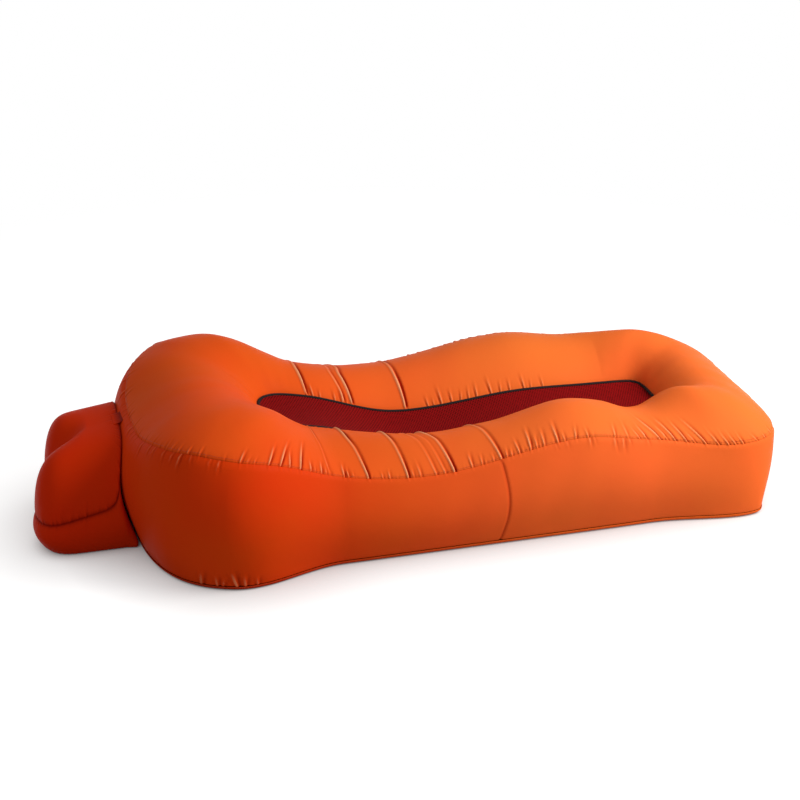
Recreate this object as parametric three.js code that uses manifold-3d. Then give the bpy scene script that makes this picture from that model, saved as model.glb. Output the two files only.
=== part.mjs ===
// Inflatable pool pouf: a wavy ring of two air chambers in a sewn fabric cover, a mesh strip
// bound in black along its middle, and a low two-lobed rear cushion on a flip-up fabric hinge.
// Millimetres, +Z up, the floor at zero. The head end points to -X and the foot end to +X.

import * as THREE from "three";
import Module from "manifold-3d";

const wasm = await Module();
wasm.setup();

// The dimensions here start from the mesh strip's middle line, and each finished node is moved by
// this much, so that the origin lies on the floor under the middle of the whole object's box.
const FRAME_SHIFT_X = 17.8;
const FRAME_SHIFT_Y = 23.75;

// Main body in plan
const BODY_LENGTH = 1642;
const BODY_CENTRE_X = 110;
const HALF_WIDTH = 361;
const NEAR_HEAD_FLARE = 80;
const FAR_HEAD_FLARE = 32;
const NEAR_FOOT_FLARE = 72;
const FAR_FOOT_FLARE = -115;
const FLARE_START_SHARE = -0.42;
const FLARE_END_SHARE = -0.78;
const FOOT_FLARE_START_SHARE = 0.55;
const NEAR_HEAD_SQUARENESS = 3.2;
const FAR_HEAD_SQUARENESS = 2.7;
const NEAR_FOOT_SQUARENESS = 7;
const FAR_FOOT_SQUARENESS = 6;

// Mesh strip in plan
const SLOT_LENGTH = 1080;
const SLOT_CENTRE_X = 167;
const SLOT_HALF_WIDTH = 105;
const SLOT_HEAD_SQUARENESS = 2.6;
const SLOT_FOOT_SQUARENESS = 5;

// Wave of the body: heights at these shares of half the length, from the head end to the foot end
const WAVE_SHARES = [-1, -0.975, -0.93, -0.86, -0.66, -0.42, -0.12, 0.3, 0.54, 0.78, 1];
const CROWN_HEIGHTS = [340, 345, 350, 376, 396, 300, 255, 294, 280, 306, 226];
const SEAM_HEIGHTS = [296, 326, 342, 350, 319, 238, 213, 264, 238, 208, 214];
const MESH_HEIGHTS = [280, 280, 280, 284, 284, 256, 183, 202, 197, 191, 191];
// The near side's crown is lower by both ends of the mesh strip, whose ends show over it, and higher
// between them. Each row has the place along X, the reach each way and the rise.
const NEAR_SWELLS = [[-290, 250, -32], [380, 190, 19], [600, 130, -24]];

// Cross-section of the tube
const SIDE_BULGE = 29;
const HEAD_BULGE = 12;
const HEAD_LEAN_SHARE = 0.2;
const FOOT_BULGE = 4;
const FOOT_BULGE_SHARE = 0.4;
const FOOT_TUCK = 36;
const FOOT_TUCK_SHARE = 0.9;
const WALL_BULGE = 13;
const SEAM_INSET = 7;
const HEM_HEIGHT = 13;
const HEM_CORNER = 5;
const HEM_CORNER_RISE = 4;
const CROWN_ROUNDNESS = 0.8;
const CROWN_LEAN = 0.84;

// Cover, film and clearances
const SKIN = 2;
const CLEARANCE = 0.4;
const SEAM_GAP = 0.4;

// Resolution of the ring
const HALF_STATIONS = 30;
const TABLE_STEPS = 720;
const TOP_SPANS = 7;
const SIDE_SPANS = 5;
const WALL_SPANS = 2;

// Where the two side bands and the two chambers meet, as the outer seam's place along X
const SIDE_SEAM_X = 160;

// Binding and mesh
const BINDING_RADIUS = 4;
const BINDING_SIDES = 6;
const MESH_THICKNESS = 2;
const MESH_SAG = 7;
const MESH_SPANS = 4;

// Valves
const FLANGE_RADIUS = 24;
const FLANGE_THICKNESS = 2.5;
const FLANGE_DEPTH = 5.4;
const NECK_RADIUS = 14;
const NECK_BORE = 11;
const NECK_LENGTH = 14;
const NECK_STAND = 2;
const COVER_HOLE_RADIUS = 25;
const CAP_RADIUS = 16;
const CAP_THICKNESS = 3;
const CAP_PLUG_DEPTH = 4;
const CAP_TAB_LENGTH = 8;
const CAP_TAB_WIDTH = 10;
const INSERT_RADIUS = 10.6;
const INSERT_FLOOR = 2;
const INSERT_WALL = 1.6;
const INSERT_LENGTH = 7;
const VALVE_SIDES = 20;
const HEAD_VALVE_X = 10;
const FOOT_VALVE_X = 280;
const VALVE_HEIGHT = 106;

// Zip in the far side band of the foot half
const ZIP_START_X = 190;
const ZIP_END_X = 500;
const ZIP_HEIGHT = 56;
const ZIP_WIDTH = 22;
const CHAIN_WIDTH = 6;
const CHAIN_STAND = 1.4;
const CHAIN_END_MARGIN = 8;
const SLIDER_LENGTH = 13;
const SLIDER_WIDTH = 11;
const SLIDER_STAND = 4.6;
const SLIDER_WALL = 1.4;
const LUG_LENGTH = 6;
const LUG_WIDTH = 3;
const LUG_HEIGHT = 3;
const LUG_BORE = 1;
const PULL_LENGTH = 26;
const PULL_WIDTH = 9;
const PULL_THICKNESS = 1.6;
const PIN_SHARE = 0.75;

// Rear cushion
const REAR_REACH = 249;
const REAR_HALF_WIDTH = 190;
const REAR_OFFSET_Y = 46;
const REAR_BACK_SQUARENESS = 3.6;
const REAR_FRONT_SQUARENESS = 16;
const REAR_FRONT_CROWN = 276;
const REAR_BACK_CROWN = 252;
const REAR_FRONT_SEAM = 128;
const REAR_BACK_SEAM = 80;
const REAR_TILT = 14;
const REAR_FACE_TOP = 280;
const REAR_FREE_SHARE = 0.8;
const REAR_GAP = 4;
const REAR_STEP = 46;
const REAR_STEP_WIDTH = 100;
const REAR_PINCH = 26;
const REAR_VALLEY = 85;
const REAR_VALLEY_Y = 38;
const REAR_VALLEY_WIDTH = 45;
const REAR_VALLEY_SHARE = 1.15;
const REAR_VALLEY_POWER = 1.4;
const REAR_SIDE_BULGE = 10;
const REAR_BASE_INSET = 12;
const REAR_FLOOR_LIFT = 1;
const REAR_DOME_POWER = 4;
const REAR_AROUND = 44;
const REAR_DEPTH_SHARE = 0.6;
const HEAD_SCAN_SHARE = 0.16;
const REAR_RING_SHARES = [0.25, 0.5, 0.7, 0.84, 0.94, 1];
const REAR_SIDE_SPANS = 6;
const REAR_VALVE_INSET = 140;
const REAR_VALVE_HEIGHT = 46;

// Hinge strip between the head band and the valley of the rear cushion
const STRIP_DROP = 13;
const STRIP_HALF_WIDTH = 27;
const STRIP_REACH = 20;
const STRIP_STANDOFF = 0.8;
const STRIP_LIFT = 1.5;
const STRIP_SPANS = 4;
const STRIP_RISE_SHARE = 0.45;

const WELD = 0.001;

const cover = { color: 0xe2571e, roughness: 0.55 };
const film = { color: 0xd8d4c8, roughness: 0.35 };
const black = { color: 0x141112, roughness: 0.7 };
const maroon = { color: 0x5c0c14, roughness: 0.8 };
const plastic = { color: 0xe9e6df, roughness: 0.4 };
const metal = { color: 0x8d9094, roughness: 0.35, metalness: 1 };

const root = new THREE.Group();

// Adds one named mesh with its own material, moved to the frame's origin.
function node(name, geometry, look) {
  geometry.translate(FRAME_SHIFT_X, FRAME_SHIFT_Y, 0);
  const mesh = new THREE.Mesh(geometry, new THREE.MeshStandardMaterial(look));
  mesh.name = name;
  root.add(mesh);
}

// Collects points and triangles, sharing equal points and leaving out collapsed triangles.
class Skin {
  constructor() {
    this.points = [];
    this.faces = [];
    this.known = new Map();
  }
  at(p) {
    const key = p.map((v) => Math.round(v / WELD)).join();
    if (!this.known.has(key)) {
      this.known.set(key, this.points.length);
      this.points.push(p);
    }
    return this.known.get(key);
  }
  tri(a, b, c) {
    const [i, j, k] = [this.at(a), this.at(b), this.at(c)];
    if (i !== j && j !== k && k !== i) this.faces.push([i, j, k]);
  }
  quad(a, b, c, d) {
    this.tri(a, b, c);
    this.tri(a, c, d);
  }
  geometry() {
    let volume = 0;
    for (const [i, j, k] of this.faces) {
      const [a, b, c] = [i, j, k].map((n) => new THREE.Vector3(...this.points[n]));
      volume += a.dot(b.cross(c));
    }
    const order = volume < 0 ? this.faces.map(([i, j, k]) => [i, k, j]) : this.faces;
    return new THREE.BufferGeometry()
      .setAttribute("position", new THREE.Float32BufferAttribute(this.points.flat(), 3))
      .setIndex(order.flat());
  }
}

// A thin sheet between an outer and an inner grid of points, given as columns of points.
function sheet(outer, inner, closed) {
  const skin = new Skin();
  const columns = outer.length;
  const rows = outer[0].length;
  const spans = closed ? columns : columns - 1;
  for (let i = 0; i < spans; i++) {
    const n = (i + 1) % columns;
    for (let j = 0; j + 1 < rows; j++) {
      skin.quad(outer[i][j], outer[n][j], outer[n][j + 1], outer[i][j + 1]);
      skin.quad(inner[i][j], inner[i][j + 1], inner[n][j + 1], inner[n][j]);
    }
    skin.quad(outer[i][0], inner[i][0], inner[n][0], outer[n][0]);
    skin.quad(outer[n][rows - 1], inner[n][rows - 1], inner[i][rows - 1], outer[i][rows - 1]);
  }
  if (!closed)
    for (let j = 0; j + 1 < rows; j++) {
      skin.quad(outer[0][j], outer[0][j + 1], inner[0][j + 1], inner[0][j]);
      skin.quad(outer[spans][j + 1], outer[spans][j], inner[spans][j], inner[spans][j + 1]);
    }
  return skin.geometry();
}

// A solid through closed rings of points, with flat ends filled from the outlines given.
function tube(rings, flat) {
  const skin = new Skin();
  const count = rings[0].length;
  for (let i = 0; i + 1 < rings.length; i++)
    for (let j = 0; j < count; j++) {
      const n = (j + 1) % count;
      skin.quad(rings[i][j], rings[i + 1][j], rings[i + 1][n], rings[i][n]);
    }
  [0, rings.length - 1].forEach((end, turn) => {
    const outline = flat[turn].map(([r, z]) => new THREE.Vector2(r, z));
    for (const corners of THREE.ShapeUtils.triangulateShape(outline, [])) {
      const [p, q, s] = corners.sort((a, b) => a - b).map((n) => rings[end][n]);
      if (turn) skin.tri(p, s, q);
      else skin.tri(p, q, s);
    }
  });
  return skin.geometry();
}

// Joining and cutting
function solid(geometry) {
  const indexed = geometry.index ? geometry : welded(geometry);
  return new wasm.Manifold(
    new wasm.Mesh({
      numProp: 3,
      vertProperties: new Float32Array(indexed.attributes.position.array),
      triVerts: new Uint32Array(indexed.index.array),
    }),
  );
}

function welded(geometry) {
  const skin = new Skin();
  const place = geometry.index ? geometry.toNonIndexed().attributes.position : geometry.attributes.position;
  for (let i = 0; i < place.count; i += 3)
    skin.tri(...[i, i + 1, i + 2].map((k) => [place.getX(k), place.getY(k), place.getZ(k)]));
  return skin.geometry();
}

function geometryOf(made) {
  const mesh = made.getMesh();
  const points = [];
  for (let i = 0; i < mesh.numVert; i++)
    points.push(...mesh.vertProperties.subarray(i * mesh.numProp, i * mesh.numProp + 3));
  return new THREE.BufferGeometry()
    .setAttribute("position", new THREE.Float32BufferAttribute(points, 3))
    .setIndex([...mesh.triVerts]);
}

function box(x0, x1, y0, y1, z0, z1) {
  const made = new THREE.BoxGeometry(x1 - x0, y1 - y0, z1 - z0);
  made.translate((x0 + x1) / 2, (y0 + y1) / 2, (z0 + z1) / 2);
  return solid(welded(made));
}

// A turned piece about an axis along +Y through the place given; its profile is radius and height.
function turned(profile, [x, y, z]) {
  const points = [...profile, profile[0]].map(([r, h]) => new THREE.Vector2(r, h));
  const made = welded(new THREE.LatheGeometry(points, VALVE_SIDES));
  made.translate(x, y, z);
  return solid(made);
}

// A smooth curve through values at ascending places.
function through(places, values, at) {
  const last = places.length - 1;
  if (at <= places[0]) return values[0];
  if (at >= places[last]) return values[last];
  const slope = (i) => {
    const [a, b] = [Math.max(i - 1, 0), Math.min(i + 1, last)];
    return (values[b] - values[a]) / (places[b] - places[a]);
  };
  let i = 0;
  while (places[i + 1] < at) i++;
  const span = places[i + 1] - places[i];
  const s = (at - places[i]) / span;
  const rise = s * s * (3 - 2 * s);
  return (
    values[i] * (1 - rise) +
    values[i + 1] * rise +
    span * (slope(i) * s * (1 - s) ** 2 - slope(i + 1) * s * s * (1 - s))
  );
}

function smooth(t) {
  const s = Math.min(Math.max(t, 0), 1);
  return s * s * (3 - 2 * s);
}

function rounded(angle, squareness) {
  const [c, s] = [Math.cos(angle), Math.sin(angle)];
  const power = 2 / squareness;
  return [Math.sign(c) * Math.abs(c) ** power, Math.sign(s) * Math.abs(s) ** power];
}

// Plan curves of the outer seam and of the mesh strip's edge
function outerPlan(angle) {
  const near = Math.sin(angle) < 0;
  const head = near ? NEAR_HEAD_SQUARENESS : FAR_HEAD_SQUARENESS;
  const foot = near ? NEAR_FOOT_SQUARENESS : FAR_FOOT_SQUARENESS;
  const [c, s] = rounded(angle, head + (foot - head) * ((1 + Math.cos(angle)) / 2) ** (1 / 2));
  const atHead = smooth((c - FLARE_START_SHARE) / (FLARE_END_SHARE - FLARE_START_SHARE));
  const atFoot = smooth((c - FOOT_FLARE_START_SHARE) / (1 - FOOT_FLARE_START_SHARE));
  const flares = near ? [NEAR_HEAD_FLARE, NEAR_FOOT_FLARE] : [FAR_HEAD_FLARE, FAR_FOOT_FLARE];
  const half = HALF_WIDTH + flares[0] * atHead + flares[1] * atFoot;
  return [BODY_CENTRE_X + (BODY_LENGTH / 2) * c, half * s];
}

// The mesh strip has straight sides and rounded ends, met along rays from the ends of its spine.
function slotPlan(angle) {
  const [x, y] = outerPlan(angle);
  const spine = SLOT_LENGTH / 2 - SLOT_HALF_WIDTH;
  const along = x - SLOT_CENTRE_X;
  const across = SLOT_HALF_WIDTH * Math.sign(Math.sin(angle));
  if (Math.abs(along) <= spine) return [x, across];
  const squareness = along > 0 ? SLOT_FOOT_SQUARENESS : SLOT_HEAD_SQUARENESS;
  const [dx, dy] = [Math.abs(along) - spine, Math.abs(y)];
  const reach = SLOT_HALF_WIDTH / (dx ** squareness + dy ** squareness) ** (1 / squareness);
  return [SLOT_CENTRE_X + Math.sign(along) * (spine + dx * reach), y * reach];
}

// Even steps around the ring: place 0 is the foot end, 1 the head end, 2 the foot end again
const stepAngles = [];
const stepLengths = [0];
for (let i = 0; i <= TABLE_STEPS; i++) {
  const side = 1 - (2 * i) / TABLE_STEPS;
  const [near, far] = [Math.abs(side) ** 3, (1 - Math.abs(side)) ** 3];
  stepAngles.push((Math.PI / 2) * (1 - (Math.sign(side) * near) / (near + far)));
  if (!i) continue;
  const [a, b] = [stepAngles[i - 1], stepAngles[i]].map((angle) => {
    const [o, s] = [outerPlan(angle), slotPlan(angle)];
    return [(o[0] + s[0]) / 2, (o[1] + s[1]) / 2];
  });
  stepLengths.push(stepLengths[i - 1] + Math.hypot(a[0] - b[0], a[1] - b[1]));
}

function angleAt(place) {
  const half = place > 1 ? 2 - place : place;
  const wanted = half * stepLengths[TABLE_STEPS];
  let i = 0;
  while (i < TABLE_STEPS - 1 && stepLengths[i + 1] < wanted) i++;
  const share = (wanted - stepLengths[i]) / (stepLengths[i + 1] - stepLengths[i]);
  const angle = stepAngles[i] + (stepAngles[i + 1] - stepAngles[i]) * share;
  return place > 1 ? 2 * Math.PI - angle : angle;
}

function wave(heights, x) {
  return through(WAVE_SHARES, heights, (x - BODY_CENTRE_X) / (BODY_LENGTH / 2));
}

// One cross-section as radius and height, with its frame in plan. It runs from the mesh edge over
// the crown to the seam, down the side, under the base and up the wall beside the mesh strip.
function section(place) {
  const angle = angleAt(place);
  const [outer, slot] = [outerPlan(angle), slotPlan(angle)];
  const width = Math.hypot(outer[0] - slot[0], outer[1] - slot[1]);
  const seamHeight = wave(SEAM_HEIGHTS, outer[0]);
  const meshHeight = wave(MESH_HEIGHTS, slot[0]);
  const middleX = (outer[0] + slot[0]) / 2;
  let crown = wave(CROWN_HEIGHTS, middleX);
  for (const [x, reach, rise] of place > 1 ? NEAR_SWELLS : []) {
    crown += rise * smooth(1 - Math.abs(middleX - x) / reach);
  }
  const along = (outer[0] - BODY_CENTRE_X) / (BODY_LENGTH / 2);
  const head = smooth((along - FLARE_START_SHARE) / (FLARE_END_SHARE - FLARE_START_SHARE));
  const foot = smooth((along - FOOT_BULGE_SHARE) / (1 - FOOT_BULGE_SHARE));
  const bulge = SIDE_BULGE + HEAD_BULGE * head - (SIDE_BULGE - FOOT_BULGE) * foot;
  const lean = 1 - HEAD_LEAN_SHARE * head;
  const tuck = FOOT_TUCK * smooth((along - FOOT_TUCK_SHARE) / (1 - FOOT_TUCK_SHARE));
  const seam = width - SEAM_INSET;
  const points = [];
  for (let i = 0; i <= TOP_SPANS; i++) {
    const share = (1 - Math.cos((Math.PI * i) / TOP_SPANS)) / 2;
    const lift = Math.sin(Math.PI * share ** CROWN_LEAN) ** CROWN_ROUNDNESS;
    const chord = meshHeight + (seamHeight - meshHeight) * share;
    points.push([seam * share, chord + (crown - (meshHeight + seamHeight) / 2) * lift]);
  }
  for (let i = 1; i <= SIDE_SPANS; i++) {
    const share = i / SIDE_SPANS;
    const out = bulge * Math.sin(Math.PI * share ** lean) + SEAM_INSET * share;
    points.push([seam + out - tuck * share ** 2, seamHeight + (HEM_HEIGHT - seamHeight) * share]);
  }
  const hem = width - tuck;
  points.push([hem - HEM_CORNER, HEM_CORNER_RISE], [hem - HEM_HEIGHT, 0]);
  points.push([HEM_HEIGHT, 0], [HEM_CORNER, HEM_CORNER_RISE], [0, HEM_HEIGHT]);
  for (let i = 1; i < WALL_SPANS; i++) {
    const share = i / WALL_SPANS;
    const rise = HEM_HEIGHT + (meshHeight - HEM_HEIGHT) * share;
    points.push([-WALL_BULGE * Math.sin(Math.PI * share), rise]);
  }
  return { points, slot, along: [(outer[0] - slot[0]) / width, (outer[1] - slot[1]) / width] };
}

const TOP_END = TOP_SPANS;
const SIDE_END = TOP_END + SIDE_SPANS;
const BASE_END = SIDE_END + 5;
const WALL_END = BASE_END + WALL_SPANS;

// The same outline moved inwards by a depth, its corners kept sharp.
function inset(points, depth) {
  const count = points.length;
  return points.map((p, i) => {
    const [a, b] = [points[(i + count - 1) % count], points[(i + 1) % count]];
    const before = new THREE.Vector2(p[0] - a[0], p[1] - a[1]).normalize();
    const after = new THREE.Vector2(b[0] - p[0], b[1] - p[1]).normalize();
    const normal = new THREE.Vector2(before.y + after.y, -before.x - after.x).normalize();
    const reach = depth / (normal.x * before.y - normal.y * before.x);
    return [p[0] + normal.x * reach, p[1] + normal.y * reach];
  });
}

function placed({ slot, along }, [r, z]) {
  return [slot[0] + along[0] * r, slot[1] + along[1] * r, z];
}

function shortened(line, gap) {
  const toward = (p, q) => {
    const length = Math.hypot(...p.map((v, i) => q[i] - v));
    return p.map((v, i) => v + ((q[i] - v) * gap) / length);
  };
  const last = line.length - 1;
  return line.map((p, i) => {
    if (i === 0) return toward(p, line[1]);
    return i === last ? toward(p, line[last - 1]) : p;
  });
}

// The columns of one cover panel between two corners of the cross-section.
function panel(places, from, to) {
  const grid = (depth) =>
    places.map((place) => {
      const cut = section(place);
      const points = depth ? inset(cut.points, depth) : cut.points;
      const line = [];
      for (let i = from; i <= to; i++) line.push(placed(cut, points[i % points.length]));
      return shortened(line, SEAM_GAP / 2);
    });
  return [grid(0), grid(SKIN)];
}

const ringPlaces = [];
for (let i = 0; i < 2 * HALF_STATIONS; i++) ringPlaces.push(i / HALF_STATIONS);

// The station on the far half where the outer seam reaches the side seam
let seamPlace = 0;
while (outerPlan(angleAt(seamPlace))[0] > SIDE_SEAM_X) seamPlace += 1 / HALF_STATIONS;
const endGap = SEAM_GAP / stepLengths[TABLE_STEPS];

function placesBetween(from, to) {
  const inside = [];
  for (let i = Math.ceil(from * HALF_STATIONS); i <= to * HALF_STATIONS; i++) {
    const place = i / HALF_STATIONS;
    if (Math.min(place - from, to - place) > 1 / HALF_STATIONS / 3) inside.push(place);
  }
  return [from, ...inside, to].map((place) => (place + 2) % 2);
}

const footPlaces = placesBetween(-seamPlace + endGap, seamPlace - endGap);
const headPlaces = placesBetween(seamPlace + endGap, 2 - seamPlace - endGap);

// Valves: a flange and neck welded to the film, a one-way insert and a cap
function bandSurface(x, height) {
  let place = 0;
  while (outerPlan(angleAt(place))[0] > x) place += 1 / TABLE_STEPS;
  const cut = section(place);
  for (let i = TOP_END; i < SIDE_END; i++) {
    const [a, b] = [cut.points[i], cut.points[i + 1]];
    if (a[1] >= height && b[1] <= height) {
      const r = a[0] + ((b[0] - a[0]) * (a[1] - height)) / (a[1] - b[1]);
      return [x, placed(cut, [r, height])[1], height];
    }
  }
  return [x, HALF_WIDTH, height];
}

function rod(radius, [x, y, z], from, to) {
  return turned([[0, from], [radius, from], [radius, to], [0, to]], [x, y, z]);
}

function valvePocket(at) {
  const flange = rod(FLANGE_RADIUS + CLEARANCE, at, -FLANGE_DEPTH - CLEARANCE, COVER_HOLE_RADIUS);
  const depth = FLANGE_DEPTH + NECK_LENGTH + CLEARANCE;
  return flange.add(rod(NECK_RADIUS + CLEARANCE, at, -depth, 0));
}

function valve(name, at) {
  const floor = -FLANGE_DEPTH;
  const top = floor + FLANGE_THICKNESS;
  const mouth = top + NECK_STAND;
  const seat = turned(
    [
      [NECK_BORE, floor - NECK_LENGTH],
      [NECK_RADIUS, floor - NECK_LENGTH],
      [NECK_RADIUS, floor],
      [FLANGE_RADIUS, floor],
      [FLANGE_RADIUS, top],
      [NECK_RADIUS, top],
      [NECK_RADIUS, mouth],
      [NECK_BORE, mouth],
    ],
    at,
  );
  node("valve_seat_" + name, geometryOf(seat), plastic);
  const insertTop = mouth - CAP_PLUG_DEPTH - CLEARANCE;
  const insertFoot = insertTop - INSERT_LENGTH;
  const bore = INSERT_RADIUS - INSERT_WALL;
  const insert = rod(INSERT_RADIUS, at, insertFoot, insertTop).subtract(
    rod(bore, at, insertFoot + INSERT_FLOOR, insertTop + CLEARANCE),
  );
  node("valve_insert_" + name, geometryOf(insert), plastic);
  const lid = mouth + CLEARANCE;
  const cap = rod(CAP_RADIUS, at, lid, lid + CAP_THICKNESS)
    .add(rod(INSERT_RADIUS, at, mouth - CAP_PLUG_DEPTH, lid + CAP_THICKNESS / 2))
    .add(
      box(
        at[0] - CAP_TAB_WIDTH / 2,
        at[0] + CAP_TAB_WIDTH / 2,
        at[1] + lid,
        at[1] + lid + CAP_THICKNESS / 2,
        at[2],
        at[2] + CAP_RADIUS + CAP_TAB_LENGTH,
      ),
    );
  node("valve_cap_" + name, geometryOf(cap), plastic);
}

const headValve = bandSurface(HEAD_VALVE_X, VALVE_HEIGHT);
const footValve = bandSurface(FOOT_VALVE_X, VALVE_HEIGHT);
valve("head", headValve);
valve("foot", footValve);

// Cover of the main body
node("cover_top_panel", sheet(...panel(ringPlaces, 0, TOP_END), true), cover);
node("cover_base_panel", sheet(...panel(ringPlaces, SIDE_END, BASE_END), true), cover);
node("cover_inner_wall", sheet(...panel(ringPlaces, BASE_END, WALL_END), true), cover);

function coverHole(at) {
  return rod(COVER_HOLE_RADIUS, at, -COVER_HOLE_RADIUS, COVER_HOLE_RADIUS);
}

const headBand = solid(sheet(...panel(headPlaces, TOP_END, SIDE_END), false));
node("cover_band_head", geometryOf(headBand.subtract(coverHole(headValve))), cover);

const zipBottom = ZIP_HEIGHT - ZIP_WIDTH / 2;
const zipTop = ZIP_HEIGHT + ZIP_WIDTH / 2;
const footBand = solid(sheet(...panel(footPlaces, TOP_END, SIDE_END), false));
const beyond = HALF_WIDTH + SIDE_BULGE + SIDE_BULGE;
const zipCut = box(ZIP_START_X, ZIP_END_X, 0, beyond, zipBottom, zipTop);
node("cover_band_foot", geometryOf(footBand.subtract(coverHole(footValve)).subtract(zipCut)), cover);

// Zip: the tape fills the cut in the band, the chain runs along its middle
const tape = footBand.intersect(
  box(
    ZIP_START_X + CLEARANCE,
    ZIP_END_X - CLEARANCE,
    0,
    beyond,
    zipBottom + CLEARANCE,
    zipTop - CLEARANCE,
  ),
);
node("zip_tape", geometryOf(tape), black);

const zipFace = Math.max(
  ...[ZIP_START_X, ZIP_END_X].flatMap((x) =>
    [zipBottom, ZIP_HEIGHT, zipTop].map((height) => bandSurface(x, height)[1]),
  ),
);
const chainStart = ZIP_START_X + CHAIN_END_MARGIN;
const chainEnd = ZIP_END_X - CHAIN_END_MARGIN;
const chainTop = zipFace + CLEARANCE + CHAIN_STAND;
const chainHalf = CHAIN_WIDTH / 2;
let chainSeat = 0;
for (let i = 0; i <= HALF_STATIONS; i++) {
  const x = ZIP_START_X + ((ZIP_END_X - ZIP_START_X) * i) / HALF_STATIONS;
  chainSeat = Math.max(chainSeat, bandSurface(x, ZIP_HEIGHT + chainHalf)[1]);
}
node(
  "zip_chain",
  geometryOf(
    box(
      chainStart,
      chainEnd,
      chainSeat + CLEARANCE,
      chainTop,
      ZIP_HEIGHT - chainHalf,
      ZIP_HEIGHT + chainHalf,
    ),
  ),
  black,
);

// The slider straddles the chain, and its lug carries the pull on a pin
const sliderX = chainEnd - SLIDER_LENGTH;
const sliderTop = zipFace + CLEARANCE + SLIDER_STAND;
const lugX = sliderX + (SLIDER_LENGTH - LUG_LENGTH) / 2;
const pinX = lugX + LUG_LENGTH / 2;
const pinY = sliderTop + LUG_HEIGHT * PIN_SHARE;
const slider = box(
  sliderX,
  sliderX + SLIDER_LENGTH,
  zipFace + CLEARANCE,
  sliderTop,
  ZIP_HEIGHT - SLIDER_WIDTH / 2,
  ZIP_HEIGHT + SLIDER_WIDTH / 2,
)
  .subtract(
    box(
      sliderX - SLIDER_LENGTH,
      sliderX + 2 * SLIDER_LENGTH,
      zipFace,
      sliderTop - SLIDER_WALL,
      ZIP_HEIGHT - chainHalf - CLEARANCE,
      ZIP_HEIGHT + chainHalf + CLEARANCE,
    ),
  )
  .add(
    box(
      lugX,
      lugX + LUG_LENGTH,
      sliderTop - SLIDER_WALL / 2,
      sliderTop + LUG_HEIGHT + LUG_BORE,
      ZIP_HEIGHT - LUG_WIDTH / 2,
      ZIP_HEIGHT + LUG_WIDTH / 2,
    ),
  )
  .subtract(
    box(
      pinX - LUG_BORE,
      pinX + LUG_BORE,
      pinY - LUG_BORE,
      pinY + LUG_BORE,
      ZIP_HEIGHT - LUG_WIDTH,
      ZIP_HEIGHT + LUG_WIDTH,
    ),
  );
node("zip_slider", geometryOf(slider), metal);

const pinHalf = LUG_BORE - CLEARANCE;
const eye = LUG_WIDTH / 2 + CLEARANCE;
const armTop = pinY + PULL_THICKNESS / 2;
const armFoot = pinY - PULL_THICKNESS / 2;
const lugReach = Math.hypot(LUG_LENGTH / 2, sliderTop + LUG_HEIGHT + LUG_BORE - pinY);
const armEnd = pinX + lugReach + CLEARANCE;
const pullTop = ZIP_HEIGHT + PULL_WIDTH / 2;
const pullFoot = ZIP_HEIGHT - PULL_WIDTH / 2;
const pull = box(armEnd, pinX + PULL_LENGTH, armFoot, armTop, pullFoot, pullTop)
  .add(box(pinX - pinHalf, armEnd + CLEARANCE, armFoot, armTop, ZIP_HEIGHT + eye, pullTop))
  .add(box(pinX - pinHalf, armEnd + CLEARANCE, armFoot, armTop, pullFoot, ZIP_HEIGHT - eye))
  .add(box(pinX - pinHalf, pinX + pinHalf, pinY - pinHalf, pinY + pinHalf, pullFoot, pullTop));
node("zip_pull", geometryOf(pull), metal);

// Mesh strip and its black binding
function slotEdge(place, out) {
  const cut = section(place);
  return placed(cut, [-out, wave(MESH_HEIGHTS, cut.slot[0])]);
}

const bindingCentre = BINDING_RADIUS + CLEARANCE;
const bindingRings = ringPlaces.map((place) => {
  const cut = section(place);
  const [, , z] = slotEdge(place, bindingCentre);
  const ring = [];
  for (let i = 0; i < BINDING_SIDES; i++) {
    const angle = (2 * Math.PI * i) / BINDING_SIDES;
    const r = BINDING_RADIUS * Math.cos(angle) - bindingCentre;
    ring.push(placed(cut, [r, z + BINDING_RADIUS * Math.sin(angle)]));
  }
  return ring;
});
const binding = new Skin();
bindingRings.forEach((ring, i) => {
  const next = bindingRings[(i + 1) % bindingRings.length];
  ring.forEach((p, j) => {
    const n = (j + 1) % BINDING_SIDES;
    binding.quad(p, next[j], next[n], ring[n]);
  });
});
node("mesh_binding", binding.geometry(), black);

const meshOut = bindingCentre + BINDING_RADIUS + CLEARANCE;
const meshRows = [];
for (let i = 0; i <= HALF_STATIONS; i++) {
  const [far, near] = [i, 2 * HALF_STATIONS - i].map((k) => slotEdge(k / HALF_STATIONS, meshOut));
  const row = [];
  for (let j = 0; j <= MESH_SPANS; j++) {
    const [share, side] = [j / MESH_SPANS, (2 * j) / MESH_SPANS - 1];
    const [x, y, z] = far.map((v, k) => near[k] + (v - near[k]) * share);
    row.push([x, y, z - MESH_SAG * (1 - side * side) * smooth(far[1] / SLOT_HALF_WIDTH)]);
  }
  meshRows.push(row);
}
const lowered = (row) => row.map(([x, y, z]) => [x, y, z - MESH_THICKNESS]);
node("seat_mesh", sheet(meshRows, meshRows.map(lowered), false), maroon);

// Air chambers: the cross-section inside the cover, capped where the two halves meet
function chamber(places) {
  const cuts = places.map(section);
  const lines = cuts.map((cut) => inset(cut.points, SKIN + CLEARANCE));
  const rings = cuts.map((cut, i) => lines[i].map((p) => placed(cut, p)));
  return solid(tube(rings, [lines[0], lines[lines.length - 1]]));
}

node("chamber_head", geometryOf(chamber(headPlaces).subtract(valvePocket(headValve))), film);
node("chamber_foot", geometryOf(chamber(footPlaces).subtract(valvePocket(footValve))), film);

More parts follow.
